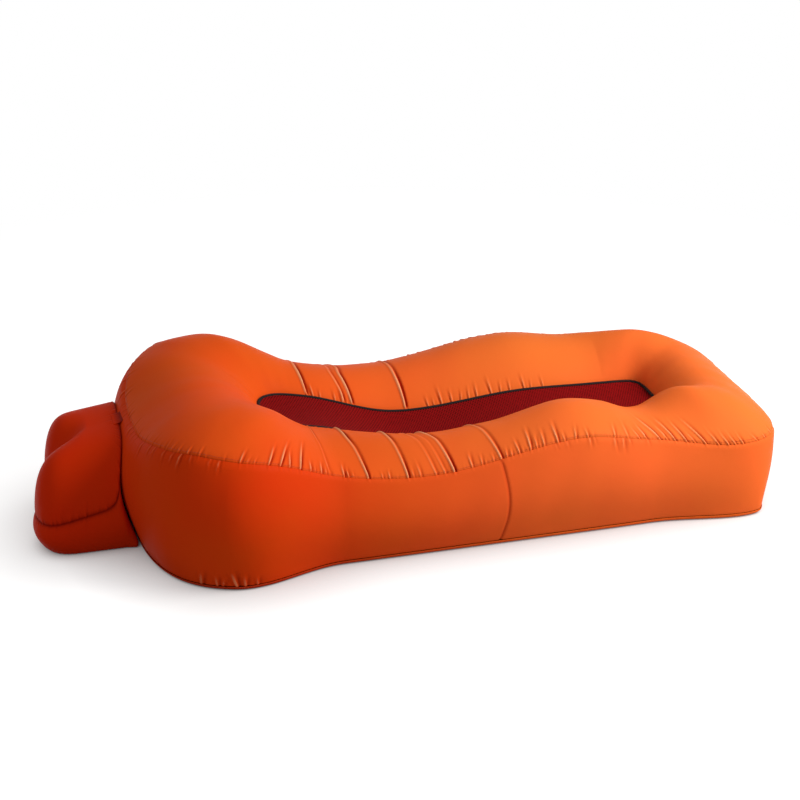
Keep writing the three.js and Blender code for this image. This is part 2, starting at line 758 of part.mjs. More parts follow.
// The head band's surface, where the rear cushion's front face follows it
const headCuts = [];
for (let i = -TABLE_STEPS; i <= TABLE_STEPS; i++)
  headCuts.push(section(1 + (HEAD_SCAN_SHARE * i) / TABLE_STEPS));

function headFace(y, wanted) {
  const height = Math.max(wanted, HEM_HEIGHT);
  let nearest = null;
  for (const cut of headCuts)
    for (let i = TOP_END; i < SIDE_END; i++) {
      const [a, b] = [cut.points[i], cut.points[i + 1]];
      if (a[1] < height || b[1] > height) continue;
      const p = placed(cut, [a[0] + ((b[0] - a[0]) * (a[1] - height)) / (a[1] - b[1]), height]);
      if (!nearest || Math.abs(p[1] - y) < Math.abs(nearest[1] - y)) nearest = p;
    }
  return nearest[0] - REAR_GAP;
}

// Rear cushion: a boxed lower band and a domed top panel, which a valley parts into two lobes
// at its back. Places in it are shares: the first runs from back to front, the second across.
const rearOutline = [];
{
  const dense = [];
  for (let i = 0; i <= TABLE_STEPS; i++) {
    const angle = (2 * Math.PI * i) / TABLE_STEPS;
    const [c, s] = [Math.cos(angle), Math.sin(angle)];
    const squareness = c > 0 ? REAR_FRONT_SQUARENESS : REAR_BACK_SQUARENESS;
    const reach = (Math.abs(c) ** squareness + Math.abs(s) ** squareness) ** (1 / squareness);
    dense.push([c / reach, s / reach]);
  }
  const lengths = [0];
  for (let i = 1; i <= TABLE_STEPS; i++) {
    const [a, b] = [dense[i - 1], dense[i]];
    const depth = (a[0] - b[0]) * REAR_DEPTH_SHARE;
    lengths.push(lengths[i - 1] + Math.hypot(depth, a[1] - b[1]));
  }
  let i = 0;
  for (let k = 0; k < REAR_AROUND; k++) {
    while (lengths[i] < (k / REAR_AROUND) * lengths[TABLE_STEPS]) i++;
    rearOutline.push(dense[i]);
  }
}

const rearBackX = BODY_CENTRE_X - BODY_LENGTH / 2 - REAR_REACH;

function rearWedge(front, back, forward) {
  return back + (front - back) * ((forward + 1) / 2);
}

// How near a place is to the line where the two lobes meet
function rearParting(across) {
  const off = Math.abs(REAR_OFFSET_Y + REAR_HALF_WIDTH * across - REAR_VALLEY_Y);
  return Math.exp(-((off / REAR_VALLEY_WIDTH) ** REAR_VALLEY_POWER));
}

// The share of its rise that the top keeps: all of it towards the head, none at the back and sides
function rearDome([forward, across]) {
  const sides = Math.max(-forward, 0) ** REAR_BACK_SQUARENESS + Math.abs(across) ** REAR_BACK_SQUARENESS;
  return Math.max(1 - sides ** (REAR_DOME_POWER / REAR_BACK_SQUARENESS), 0) ** (1 / 2);
}

function rearHeight([forward, across]) {
  const valley = REAR_VALLEY * (1 - smooth((forward + 1) / REAR_VALLEY_SHARE)) * rearParting(across);
  const crown = rearWedge(REAR_FRONT_CROWN, REAR_BACK_CROWN, forward) + REAR_TILT * across;
  const seam = rearWedge(REAR_FRONT_SEAM, REAR_BACK_SEAM, forward);
  return seam + (crown - valley - seam) * rearDome([forward, across]);
}

const rearFoot = REAR_FLOOR_LIFT + SKIN + CLEARANCE;

// A point of the plan, moved inwards by a depth. The front follows the head's face, at a share of
// the way down from the cushion's top to its foot.
function rearPlan([forward, across], share, depth) {
  const y = REAR_OFFSET_Y + REAR_HALF_WIDTH * across;
  const top = Math.min(rearHeight([1, across]), REAR_FACE_TOP);
  const front = headFace(y, top + (rearFoot - top) * share);
  const step = REAR_STEP * smooth((y - REAR_VALLEY_Y) / REAR_STEP_WIDTH + 1 / 2);
  const back = rearBackX + step + REAR_PINCH * rearParting(across);
  const x = back + ((forward + 1) / 2) * (front - back);
  return [x - forward * depth, y - across * depth];
}

function rearPoint(edge, share, depth) {
  const inner = edge.map((v) => v * share);
  return [...rearPlan(inner, 0, depth), rearHeight(inner) - depth * rearDome(inner)];
}

function rearSide(edge, share, depth) {
  const rim = rearHeight(edge);
  const free = 1 - smooth((edge[0] - REAR_FREE_SHARE) / (1 - REAR_FREE_SHARE));
  const out = REAR_SIDE_BULGE * Math.sin(Math.PI * share) - REAR_BASE_INSET * share ** 2;
  return [...rearPlan(edge, share, depth - out * free), rim + (rearFoot - rim) * share];
}

const rearMiddle = (depth) => rearPoint([0, 0], 1, depth);

const rearTop = (depth) =>
  rearOutline.map((edge) => {
    const line = REAR_RING_SHARES.map((share) => rearPoint(edge, share, depth));
    return [rearMiddle(depth), ...line];
  });
const lift = ([x, y, z]) => [x, y, z + SEAM_GAP / 2];
const drop = ([x, y, z]) => [x, y, z - SEAM_GAP / 2];

function domed(outer, inner) {
  const skin = new Skin();
  const rows = outer[0].length;
  outer.forEach((line, i) => {
    const n = (i + 1) % outer.length;
    for (let j = 0; j + 1 < rows; j++) {
      skin.quad(outer[i][j], outer[i][j + 1], outer[n][j + 1], outer[n][j]);
      skin.quad(inner[i][j], inner[n][j], inner[n][j + 1], inner[i][j + 1]);
    }
    skin.quad(outer[i][rows - 1], inner[i][rows - 1], inner[n][rows - 1], outer[n][rows - 1]);
  });
  return skin.geometry();
}

const rearTopOuter = rearTop(0).map((line) => line.map(lift));
const rearTopInner = rearTop(SKIN).map((line) => line.map(lift));
node("rear_top_panel", domed(rearTopOuter, rearTopInner), cover);

const sideLine = (edge, depth) => {
  const line = [];
  for (let i = 0; i <= REAR_SIDE_SPANS; i++) line.push(rearSide(edge, i / REAR_SIDE_SPANS, depth));
  const [x, y, z] = drop(line[0]);
  line[0] = [x, y, z - Math.max(depth, SKIN) * rearDome(edge)];
  return line;
};
const rearSides = [0, SKIN].map((depth) => rearOutline.map((edge) => sideLine(edge, depth)));
const rearValve = [rearBackX + REAR_VALVE_INSET, 0, REAR_VALVE_HEIGHT];
rearValve[1] = Math.max(...rearSides[0].flat().map((p) => p[1])) - CLEARANCE;
const rearBand = solid(sheet(rearSides[0], rearSides[1], true));
node("rear_side_band", geometryOf(rearBand.subtract(coverHole(rearValve))), cover);

const rearFloor = rearOutline.map((edge) => rearSide(edge, 1, 0));
const [rearCentreX] = rearMiddle(0);
const floorTop = REAR_FLOOR_LIFT + SKIN;
const rearBase = domed(
  rearFloor.map(([x, y]) => [[rearCentreX, REAR_OFFSET_Y, floorTop], [x, y, floorTop]]),
  rearFloor.map(([x, y]) => [[rearCentreX, REAR_OFFSET_Y, REAR_FLOOR_LIFT], [x, y, REAR_FLOOR_LIFT]]),
);
node("rear_base_panel", rearBase, cover);

const rearDepth = SKIN + CLEARANCE;
const rearTopLines = rearTop(rearDepth).map((line) => line.map(drop));
const rearSideLines = rearOutline.map((edge) => sideLine(edge, rearDepth));
const rearAir = new Skin();
rearOutline.forEach((edge, i) => {
  const n = (i + 1) % REAR_AROUND;
  const bottom = ([x, y]) => [x, y, floorTop + 2 * CLEARANCE];
  const line = (k) => [...rearTopLines[k], ...rearSideLines[k].slice(1, REAR_SIDE_SPANS)];
  const [a, b] = [i, n].map((k) => [...line(k), bottom(rearSideLines[k][REAR_SIDE_SPANS])]);
  for (let j = 0; j + 1 < a.length; j++) rearAir.quad(a[j], a[j + 1], b[j + 1], b[j]);
  const centre = bottom([rearCentreX, REAR_OFFSET_Y]);
  rearAir.tri(a[a.length - 1], centre, b[b.length - 1]);
});
node("rear_chamber", geometryOf(solid(rearAir.geometry()).subtract(valvePocket(rearValve))), film);
valve("rear", rearValve);

// Hinge strip: a band of cover fabric from the head band over the gap to the cushion's valley
const stripHeight = SEAM_HEIGHTS[0] - STRIP_DROP;
const stripEndX = headFace(REAR_OFFSET_Y, stripHeight) - STRIP_REACH;
const stripColumns = [];
const stripHead = headFace(REAR_OFFSET_Y, REAR_FACE_TOP);
const stripForward = 1 - (2 * STRIP_REACH) / (stripHead - rearBackX - REAR_STEP / 2);
for (let i = 0; i <= STRIP_SPANS; i++) {
  const y = REAR_OFFSET_Y + STRIP_HALF_WIDTH * ((2 * i) / STRIP_SPANS - 1);
  const start = headFace(y, stripHeight) + REAR_GAP - STRIP_STANDOFF;
  const end = rearHeight([stripForward, (y - REAR_OFFSET_Y) / REAR_HALF_WIDTH]) + STRIP_LIFT;
  const column = [];
  for (let j = 0; j <= STRIP_SPANS; j++) {
    const share = j / STRIP_SPANS;
    const rise = (end - stripHeight) * share ** STRIP_RISE_SHARE;
    column.push([start + (stripEndX - start) * share, y, stripHeight + rise]);
  }
  stripColumns.push(column);
}
const raised = (line) => line.map(([x, y, z]) => [x, y, z + SKIN]);
node("hinge_strip", sheet(stripColumns.map(raised), stripColumns, false), cover);

export default root;
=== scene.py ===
import math

import bmesh
import bpy
import numpy as np
from mathutils import Matrix, Vector


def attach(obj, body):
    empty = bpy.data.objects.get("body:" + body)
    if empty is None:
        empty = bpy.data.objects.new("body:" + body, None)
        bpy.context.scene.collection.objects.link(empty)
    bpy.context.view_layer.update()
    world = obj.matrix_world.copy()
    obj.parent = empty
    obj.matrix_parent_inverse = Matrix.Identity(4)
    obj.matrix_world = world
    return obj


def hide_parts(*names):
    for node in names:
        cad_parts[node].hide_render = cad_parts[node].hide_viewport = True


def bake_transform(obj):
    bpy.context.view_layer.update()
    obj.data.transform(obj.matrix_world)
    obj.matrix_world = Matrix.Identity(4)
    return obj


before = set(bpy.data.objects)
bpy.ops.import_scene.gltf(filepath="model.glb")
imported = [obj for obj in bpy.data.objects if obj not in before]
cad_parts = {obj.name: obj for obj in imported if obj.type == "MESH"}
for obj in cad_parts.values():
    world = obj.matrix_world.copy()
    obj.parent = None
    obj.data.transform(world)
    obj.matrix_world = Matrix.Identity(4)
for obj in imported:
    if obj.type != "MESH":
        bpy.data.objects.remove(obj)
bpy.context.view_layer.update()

# ---------------------------------------------------------------------------
# Air chambers. Two bladders of thin welded film, one for the head half and one
# for the foot half, lie inside the cover and are blown up through the valves.
# The cover's cut gives them their shape, so the cover's outline is set here.
BODY_LENGTH, BODY_CENTRE_X = 1.642, 0.110
HALF_WIDTH = 0.361
HEAD_FLARES, FOOT_FLARES = (0.080, 0.032), (0.072, -0.115)
FLARE_START, FLARE_END, FOOT_FLARE_START = -0.42, -0.78, 0.55
HEAD_SQUARENESS, FOOT_SQUARENESS = (3.2, 2.7), (7, 6)
FOOT_TUCK, FOOT_TUCK_START = 0.036, 0.9
HEAD_LEAN = 0.2
SLOT_LENGTH, SLOT_CENTRE_X, SLOT_HALF_WIDTH = 1.080, 0.167, 0.105
SLOT_HEAD_SQUARENESS, SLOT_FOOT_SQUARENESS = 2.6, 5
WAVE_PLACES = [-1, -0.975, -0.93, -0.86, -0.66, -0.42, -0.12, 0.3, 0.54, 0.78, 1]
CROWN_HEIGHTS = [0.340, 0.345, 0.350, 0.376, 0.396, 0.300, 0.255, 0.294, 0.280, 0.306, 0.226]
SEAM_HEIGHTS = [0.296, 0.326, 0.342, 0.350, 0.319, 0.238, 0.213, 0.264, 0.238, 0.208, 0.214]
MESH_HEIGHTS = [0.280, 0.280, 0.280, 0.284, 0.284, 0.256, 0.183, 0.202, 0.197, 0.191, 0.191]
SIDE_BULGE, HEAD_BULGE, FOOT_BULGE, WALL_BULGE = 0.029, 0.012, 0.004, 0.013
# The near side's crown: where each swell is along X, its reach each way and its rise
NEAR_SWELLS = [(-0.290, 0.250, -0.032), (0.380, 0.190, 0.019), (0.600, 0.130, -0.024)]
FLATTER_START = 0.4
SEAM_INSET, HEM_HEIGHT = 0.007, 0.013
CROWN_ROUNDNESS, CROWN_LEAN = 0.8, 0.84
SIDE_SEAM_X = 0.160
FILM_DEPTH = 0.007

# The sizes start from the mesh strip's middle line, and each finished piece moves into the frame by this.
INTO_FRAME = Matrix.Translation((0.0178, 0.02375, 0))


def through(places, values, at):
    """A smooth curve through values at ascending places."""
    places, values = np.array(places, float), np.array(values, float)
    count = len(places)
    at = np.clip(at, places[0], places[-1])
    i = np.clip(np.searchsorted(places, at, side="right") - 1, 0, count - 2)
    low, high = np.maximum(np.arange(count) - 1, 0), np.minimum(np.arange(count) + 1, count - 1)
    slope = (values[high] - values[low]) / (places[high] - places[low])
    span = places[i + 1] - places[i]
    s = (at - places[i]) / span
    rise = s * s * (3 - 2 * s)
    bend = slope[i] * s * (1 - s) ** 2 - slope[i + 1] * s * s * (1 - s)
    return values[i] * (1 - rise) + values[i + 1] * rise + span * bend


def smooth(t):
    s = np.clip(t, 0, 1)
    return s * s * (3 - 2 * s)


def outer_plan(angle):
    """The outer seam in plan."""
    near = np.sin(angle) < 0
    head, foot = np.where(near, *HEAD_SQUARENESS), np.where(near, *FOOT_SQUARENESS)
    power = 2 / (head + (foot - head) * ((1 + np.cos(angle)) / 2) ** 0.5)
    c = np.sign(np.cos(angle)) * np.abs(np.cos(angle)) ** power
    s = np.sign(np.sin(angle)) * np.abs(np.sin(angle)) ** power
    at_head = smooth((c - FLARE_START) / (FLARE_END - FLARE_START))
    at_foot = smooth((c - FOOT_FLARE_START) / (1 - FOOT_FLARE_START))
    flare = at_head * np.where(near, *HEAD_FLARES) + at_foot * np.where(near, *FOOT_FLARES)
    return BODY_CENTRE_X + BODY_LENGTH / 2 * c, (HALF_WIDTH + flare) * s


def slot_plan(angle):
    """The mesh strip's edge in plan: straight sides and rounded ends."""
    x, y = outer_plan(angle)
    spine = SLOT_LENGTH / 2 - SLOT_HALF_WIDTH
    along = x - SLOT_CENTRE_X
    power = np.where(along > 0, SLOT_FOOT_SQUARENESS, SLOT_HEAD_SQUARENESS)
    dx, dy = np.maximum(np.abs(along) - spine, 1e-9), np.maximum(np.abs(y), 1e-9)
    reach = SLOT_HALF_WIDTH / (dx**power + dy**power) ** (1 / power)
    straight = np.abs(along) <= spine
    end_x = SLOT_CENTRE_X + np.sign(along) * (spine + dx * reach)
    side_y = SLOT_HALF_WIDTH * np.sign(np.sin(angle))
    return np.where(straight, x, end_x), np.where(straight, side_y, np.sign(y) * dy * reach)


# The run is the length along the outer seam, from the foot's middle by the far side to the head.
turn = 1 - 2 * np.linspace(0, 1, 16001)
near_share, far_share = np.abs(turn) ** 3, (1 - np.abs(turn)) ** 3
half_angles = np.pi / 2 * (1 - np.sign(turn) * near_share / (near_share + far_share))
ring_angles = np.concatenate([half_angles, 2 * np.pi - half_angles[-2::-1]])
ring_plan = np.stack(outer_plan(ring_angles), 1)
ring_runs = np.append(0, np.cumsum(np.hypot(*np.diff(ring_plan, axis=0).T)))
FULL_RUN, HEAD_RUN = ring_runs[-1], ring_runs[len(half_angles) - 1]


def run_at(x, side):
    """The run where the outer seam passes x, on the near side (-1) or the far side (1)."""
    half = len(half_angles)
    if side > 0:
        return np.interp(-np.asarray(x, float), -ring_plan[:half, 0], ring_runs[:half])
    return np.interp(np.asarray(x, float), ring_plan[half - 1 :, 0], ring_runs[half - 1 :])


def even_runs(count):
    """Runs at even steps round the whole outer seam, as a column."""
    return (np.arange(count) * FULL_RUN / count)[:, None]


def cut_at(run):
    """The cross-section's sizes at a run: its plan ends, direction, width and heights."""
    angle = np.interp(np.mod(run, FULL_RUN), ring_runs, ring_angles)
    (ox, oy), (sx, sy) = outer_plan(angle), slot_plan(angle)
    width = np.hypot(ox - sx, oy - sy)
    along = (ox - BODY_CENTRE_X) / (BODY_LENGTH / 2)
    slot_along = (sx - BODY_CENTRE_X) / (BODY_LENGTH / 2)
    head = smooth((along - FLARE_START) / (FLARE_END - FLARE_START))
    foot = smooth((along - FLATTER_START) / (1 - FLATTER_START))
    tuck = FOOT_TUCK * smooth((along - FOOT_TUCK_START) / (1 - FOOT_TUCK_START))
    middle_x = (ox + sx) / 2
    swell = sum(rise * smooth(1 - np.abs(middle_x - x) / reach) for x, reach, rise in NEAR_SWELLS)
    swell = np.where(np.sin(angle) < 0, swell, 0)
    return {
        "slot": (sx, sy),
        "toward": ((ox - sx) / width, (oy - sy) / width),
        "width": width,
        "seam": through(WAVE_PLACES, SEAM_HEIGHTS, along),
        "mesh": through(WAVE_PLACES, MESH_HEIGHTS, slot_along),
        "crown": through(WAVE_PLACES, CROWN_HEIGHTS, (along + slot_along) / 2) + swell,
        "lean": 1 - HEAD_LEAN * head,
        "tuck": tuck,
        "hem": width - tuck,
        "bulge": SIDE_BULGE + HEAD_BULGE * head - (SIDE_BULGE - FOOT_BULGE) * foot,
    }


def placed(cut, r, z):
    (sx, sy), (tx, ty) = cut["slot"], cut["toward"]
    return np.stack(np.broadcast_arrays(sx + tx * r, sy + ty * r, z), -1)


def over_top(run, share):
    """A point of the top panel, from the mesh edge (0) over the crown to the outer seam (1)."""
    cut = cut_at(run)
    lift = np.sin(np.pi * share**CROWN_LEAN).clip(0) ** CROWN_ROUNDNESS
    chord = cut["mesh"] + (cut["seam"] - cut["mesh"]) * share
    rise = cut["crown"] - (cut["mesh"] + cut["seam"]) / 2
    return placed(cut, (cut["width"] - SEAM_INSET) * share, chord + rise * lift)


def down_side(run, share):
    """A point of the side band, from the outer seam (0) down to the hem (1)."""
    cut = cut_at(run)
    out = cut["bulge"] * np.sin(np.pi * share ** cut["lean"]) + SEAM_INSET * share - cut["tuck"] * share**2
    height = cut["seam"] + (HEM_HEIGHT - cut["seam"]) * share
    return placed(cut, cut["width"] - SEAM_INSET + out, height)


def up_wall(run, share):
    """A point of the wall beside the mesh, from the base's hem (0) up to the mesh edge (1)."""
    cut = cut_at(run)
    return placed(cut, -WALL_BULGE * np.sin(np.pi * share), HEM_HEIGHT + (cut["mesh"] - HEM_HEIGHT) * share)


def grid_faces(columns, rows, closed):
    """Quads over a grid of points kept column by column, facing the side that outward() gives."""
    i = np.arange(columns if closed else columns - 1)[:, None] * rows
    n = (i + rows) % (columns * rows)
    j = np.arange(rows - 1)[None, :]
    return np.stack([i + j, i + j + 1, n + j + 1, n + j], -1).reshape(-1, 4)


def fan(middle, columns, rows, row=0, turned=False):
    """Triangles from a middle point to one row of a closed grid."""
    sides = [(i * rows + row, (i + 1) % columns * rows + row) for i in range(columns)]
    return [[middle, b, a] if turned else [middle, a, b] for a, b in sides]


def outward(points, closed):
    """The unit normals of a grid of points."""
    across = np.gradient(points, axis=1)
    if closed:
        along = np.roll(points, -1, 0) - np.roll(points, 1, 0)
    else:
        along = np.gradient(points, axis=0)
    normal = np.cross(across, along)
    return normal / np.linalg.norm(normal, axis=-1, keepdims=True).clip(1e-12)


def new_object(name, data):
    made = bpy.data.objects.new(name, data)
    bpy.context.collection.objects.link(made)
    return made


def new_piece(name, points, faces, material, flat=None, **marks):
    """A mesh object with its place in its mesh. flat is a UV in metres, marks are point attributes."""
    points = np.asarray(points, float).reshape(-1, 3)
    mesh = bpy.data.meshes.new(name)
    mesh.from_pydata(points.tolist(), [], [list(map(int, f)) for f in faces])
    mesh.update()
    if flat is not None:
        layer = mesh.uv_layers.new(name="cloth")
        corners = np.zeros(len(mesh.loops), np.int32)
        mesh.loops.foreach_get("vertex_index", corners)
        layer.data.foreach_set("uv", np.asarray(flat, np.float32).reshape(-1, 2)[corners].ravel())
    for mark, values in marks.items():
        kept = mesh.attributes.new(mark, "FLOAT", "POINT")
        kept.data.foreach_set("value", np.broadcast_to(values, len(points)).astype(np.float32))
    mesh.shade_smooth()
    mesh.materials.append(material)
    return new_object(name, mesh)


def turned_out(piece):
    """Recalculates a closed piece's normals to face outwards."""
    made = bmesh.new()
    made.from_mesh(piece.data)
    bmesh.ops.recalc_face_normals(made, faces=made.faces)
    made.to_mesh(piece.data)
    made.free()
    return piece


def new_material(name):
    material = bpy.data.materials.new(name)
    material.use_nodes = True
    nodes, links = material.node_tree.nodes, material.node_tree.links
    return material, nodes, links, nodes["Principled BSDF"]


def shaded(nodes, low, high):
    """A colour ramp between two shades."""
    tint = nodes.new("ShaderNodeValToRGB")
    tint.color_ramp.elements[0].color, tint.color_ramp.elements[1].color = (*low, 1), (*high, 1)
    return tint


def raised_by(nodes, links, height, into, strength, distance):
    """Gives a node its normal from a height, by a bump that is returned."""
    bump = nodes.new("ShaderNodeBump")
    bump.inputs["Strength"].default_value, bump.inputs["Distance"].default_value = strength, distance
    links.new(height, bump.inputs["Height"])
    links.new(bump.outputs["Normal"], into.inputs["Normal"])
    return bump


def noise(nodes, links, place, scale, detail=2, roughness=0.5):
    """A noise over a piece's own place."""
    node = nodes.new("ShaderNodeTexNoise")
    for label, value in (("Scale", scale), ("Detail", detail), ("Roughness", roughness)):
        node.inputs[label].default_value = value
    links.new(place.outputs["Object"], node.inputs["Vector"])
    return node


def blended(nodes, links, under, over, share):
    """A colour over another by a share."""
    node = nodes.new("ShaderNodeMix")
    node.data_type = "RGBA"
    links.new(under, node.inputs["A"])
    links.new(over, node.inputs["B"])
    links.new(share, node.inputs["Factor"])
    return node.outputs["Result"]


def group_into(nodes, links, shader, tree, **values):
    """Places a node group whose outputs feed the shader's inputs of the same names."""
    node = nodes.new("ShaderNodeGroup")
    node.node_tree = tree
    for label, value in values.items():
        node.inputs[label.replace("_", " ")].default_value = value
    for given in node.outputs:
        links.new(given, shader.inputs[given.name])


def speckled(name, low, high, scale, roughness, detail=2):
    """A material whose colour wavers between two shades over a noise, and the nodes to add to it."""
    material, nodes, links, shader = new_material(name)
    grain = noise(nodes, links, nodes.new("ShaderNodeTexCoord"), scale, detail)
    tint = shaded(nodes, low, high)
    links.new(grain.outputs["Fac"], tint.inputs["Fac"])
    links.new(tint.outputs["Color"], shader.inputs["Base Color"])
    shader.inputs["Roughness"].default_value = roughness
    return material, nodes, links, shader, grain


film = speckled("chamber film", (0.62, 0.63, 0.60), (0.72, 0.73, 0.71), 9, 0.3)[0]

SIDE_SEAM_RUN, NEAR_SEAM_RUN = float(run_at(SIDE_SEAM_X, 1)), float(run_at(SIDE_SEAM_X, -1))
FILM_STEP, FILM_ROWS, FILM_LOWEST, FILM_EDGE, FILM_END_GAP = 0.030, 12, 0.004, 0.012, 0.006


def blown_up(name, start, end):
    """A closed bladder between two runs, a little inside the cover."""
    runs = np.linspace(start, end, max(3, int((end - start) / FILM_STEP)))[:, None]
    rise = np.linspace(0, 1, FILM_ROWS)[None, :]
    cut = cut_at(runs)
    floor = np.linspace(0, 1, 5)[None, 1:-1]
    base = placed(cut, cut["hem"] - FILM_EDGE - (cut["hem"] - 2 * FILM_EDGE) * floor, 0 * floor)
    ring = np.concatenate(
        [
            over_top(runs, (1 - np.cos(np.pi * rise)) / 2)[:, :-1],
            down_side(runs, rise)[:, :-1],
            base,
            up_wall(runs, rise)[:, :-1],
        ],
        1,
    )
    closed = np.concatenate([ring[:, -1:], ring, ring[:, :1]], 1)
    inner = ring - FILM_DEPTH * outward(closed, False)[:, 1:-1]
    inner[..., 2] = inner[..., 2].clip(FILM_LOWEST)
    columns, rows = inner.shape[:2]
    faces = grid_faces(columns, rows, False).tolist()
    last = rows - 1
    faces += [[i * rows + last, (i + 1) * rows + last, (i + 1) * rows, i * rows] for i in range(columns - 1)]
    points = [*inner.reshape(-1, 3)]
    for end_column in (0, columns - 1):
        middle = len(points)
        points.append(inner[end_column].mean(0))
        first = end_column * rows
        faces += [[first + j, first + (j + 1) % rows, middle] for j in range(rows)]
    return turned_out(new_piece(name, points, faces, film))


for name, start, end in (
    ("film_chamber_foot", NEAR_SEAM_RUN - FULL_RUN + FILM_END_GAP, SIDE_SEAM_RUN - FILM_END_GAP),
    ("film_chamber_head", SIDE_SEAM_RUN + FILM_END_GAP, NEAR_SEAM_RUN - FILM_END_GAP),
):
    chamber = blown_up(name, start, end)
    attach(chamber, "lounger")
    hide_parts(name.replace("film_", ""))

# ---------------------------------------------------------------------------
# Cover top panel. One cut of coated satin nylon from the outer seam over the
# air tube to the mesh strip. It is longer than its seams, so it gathers there,
# and the tightest gathers run on over the tube as creases.
TOP_COLUMNS, TOP_ROWS = 2500, 40
SEAM_PINCH, SEAM_PINCH_WIDTH = 0.0030, 0.006
GATHER_HEIGHT, GATHER_WIDTH, SHORTEST_GATHER = 1.45, 0.78, 0.014
FOLD_DEPTH, RIDGE_HEIGHT, SLACK_WAVES = 0.0028, 0.0030, 14

# Creases: x where each leaves its seam, its length in metres, and its height and width in millimetres
NEAR_SEAM_CREASES = [
    (-0.641, 0.030, 1.3, 4.0), (-0.621, 0.030, 1.3, 3.6), (-0.597, 0.034, 1.4, 4.0),
    (-0.543, 0.022, 1.0, 3.4), (-0.505, 0.052, 2.2, 4.0), (-0.488, 0.030, 1.2, 3.6),
    (-0.471, 0.026, 1.3, 3.4), (-0.435, 0.080, 3.0, 4.4), (-0.405, 0.105, 3.4, 4.6),
    (-0.380, 0.072, 2.6, 4.2), (-0.352, 0.120, 3.6, 4.8), (-0.324, 0.046, 2.4, 4.0),
    (-0.312, 0.030, 1.5, 3.4), (-0.295, 0.048, 2.6, 4.0), (-0.282, 0.030, 1.5, 3.4),
    (-0.270, 0.026, 1.2, 3.2), (-0.238, 0.054, 2.8, 4.0), (-0.226, 0.042, 2.2, 3.6),
    (-0.214, 0.026, 1.3, 3.2), (-0.141, 0.026, 1.3, 3.4), (-0.124, 0.032, 1.8, 3.4),
    (-0.063, 0.040, 1.2, 4.0), (-0.045, 0.060, 1.4, 4.4), (0.086, 0.052, 2.3, 4.0),
    (0.111, 0.038, 1.7, 3.6), (0.141, 0.030, 1.4, 3.6), (0.175, 0.034, 1.6, 3.6),
    (0.188, 0.028, 1.3, 3.4), (0.207, 0.056, 2.2, 4.0), (0.236, 0.082, 2.8, 4.2),
    (0.253, 0.048, 1.8, 3.8), (0.271, 0.062, 2.0, 4.2), (0.307, 0.074, 2.7, 4.4),
    (0.325, 0.034, 1.5, 3.6), (0.354, 0.046, 2.0, 3.8), (0.386, 0.038, 1.6, 4.0),
    (0.458, 0.054, 2.0, 4.2), (0.493, 0.072, 1.4, 5.0), (0.525, 0.046, 1.9, 4.0),
    (0.544, 0.062, 2.4, 4.2), (0.580, 0.110, 3.0, 4.8), (0.600, 0.070, 2.0, 4.4),
    (0.621, 0.096, 3.0, 4.6), (0.651, 0.080, 2.8, 4.4), (0.673, 0.044, 1.8, 3.8),
    (0.701, 0.094, 3.0, 4.6), (0.734, 0.050, 2.3, 4.0), (0.760, 0.044, 2.2, 3.8),
    (0.779, 0.040, 2.0, 3.6), (0.799, 0.036, 1.9, 3.6), (0.840, 0.034, 1.8, 3.6),
    (0.866, 0.024, 1.3, 3.2), (0.891, 0.030, 1.8, 3.6),
]
FAR_SLOT_CREASES = [
    (-0.223, 0.046, 2.0, 3.6), (-0.207, 0.050, 2.2, 3.8), (-0.188, 0.034, 1.5, 3.6),
    (-0.148, 0.040, 1.7, 3.8), (-0.128, 0.060, 2.0, 4.2), (-0.116, 0.040, 1.6, 3.6),
    (0.108, 0.038, 1.7, 3.6), (0.124, 0.030, 1.3, 3.4), (0.146, 0.062, 2.2, 4.0),
    (0.174, 0.044, 1.9, 3.8), (0.199, 0.036, 1.6, 3.6), (0.221, 0.040, 1.6, 3.6),
    (0.244, 0.046, 1.9, 3.8), (0.285, 0.058, 2.1, 4.0), (0.311, 0.036, 1.6, 3.6),
    (0.337, 0.040, 1.6, 3.6), (0.378, 0.050, 1.9, 3.8), (0.397, 0.030, 1.3, 3.4),
    (0.431, 0.038, 1.5, 3.6),
]
# Creases over the whole tube: near (-1) or far (1) side, x at the outer seam and at the mesh edge, height
# and width in millimetres, and kink
LONG_CREASES = [
    (-1, -0.178, -0.204, 4.0, 4.6, 0.004), (-1, -0.078, -0.098, 3.8, 4.6, 0.002),
    (-1, 0.039, -0.006, 4.2, 4.8, 0.010), (-1, -0.275, -0.288, 1.5, 4.6, 0.003),
    (-1, 0.160, 0.118, 3.0, 4.8, 0.004), (-1, -0.007, -0.052, 1.5, 5.0, 0.006),
    (-1, 0.016, -0.034, 1.3, 4.6, 0.008), (1, -0.245, -0.226, 3.6, 4.8, 0.006),
    (1, -0.130, -0.102, 3.8, 4.8, 0.012), (1, 0.026, 0.044, 3.8, 4.8, 0.002),
    (1, -0.165, -0.122, 1.8, 4.8, 0.010),
]


def apart(run, middle):
    """How far a run is past another along the closed seam."""
    return np.mod(run - middle + FULL_RUN / 2, FULL_RUN) - FULL_RUN / 2


def gather(run, reach, start, length, height, width, lean=0.0, curl=0.0):
    """One gather: a thin ridge with a valley beside it, which fades and widens away from its seam."""
    t = np.clip(reach / length, 0, 1)
    middle = start + lean * reach + curl * length * t * t
    off = apart(run, middle) / (GATHER_WIDTH * width * (0.8 + 0.7 * t))
    fade = (1 - t) ** 1.1 * (0.6 + 0.4 * smooth(reach / (0.25 * length)))
    shape = np.exp(-(off**2)) - 0.9 * np.exp(-((off - 1.6) ** 2)) - 0.25 * np.exp(-((off + 1.8) ** 2))
    return GATHER_HEIGHT * height * fade * shape


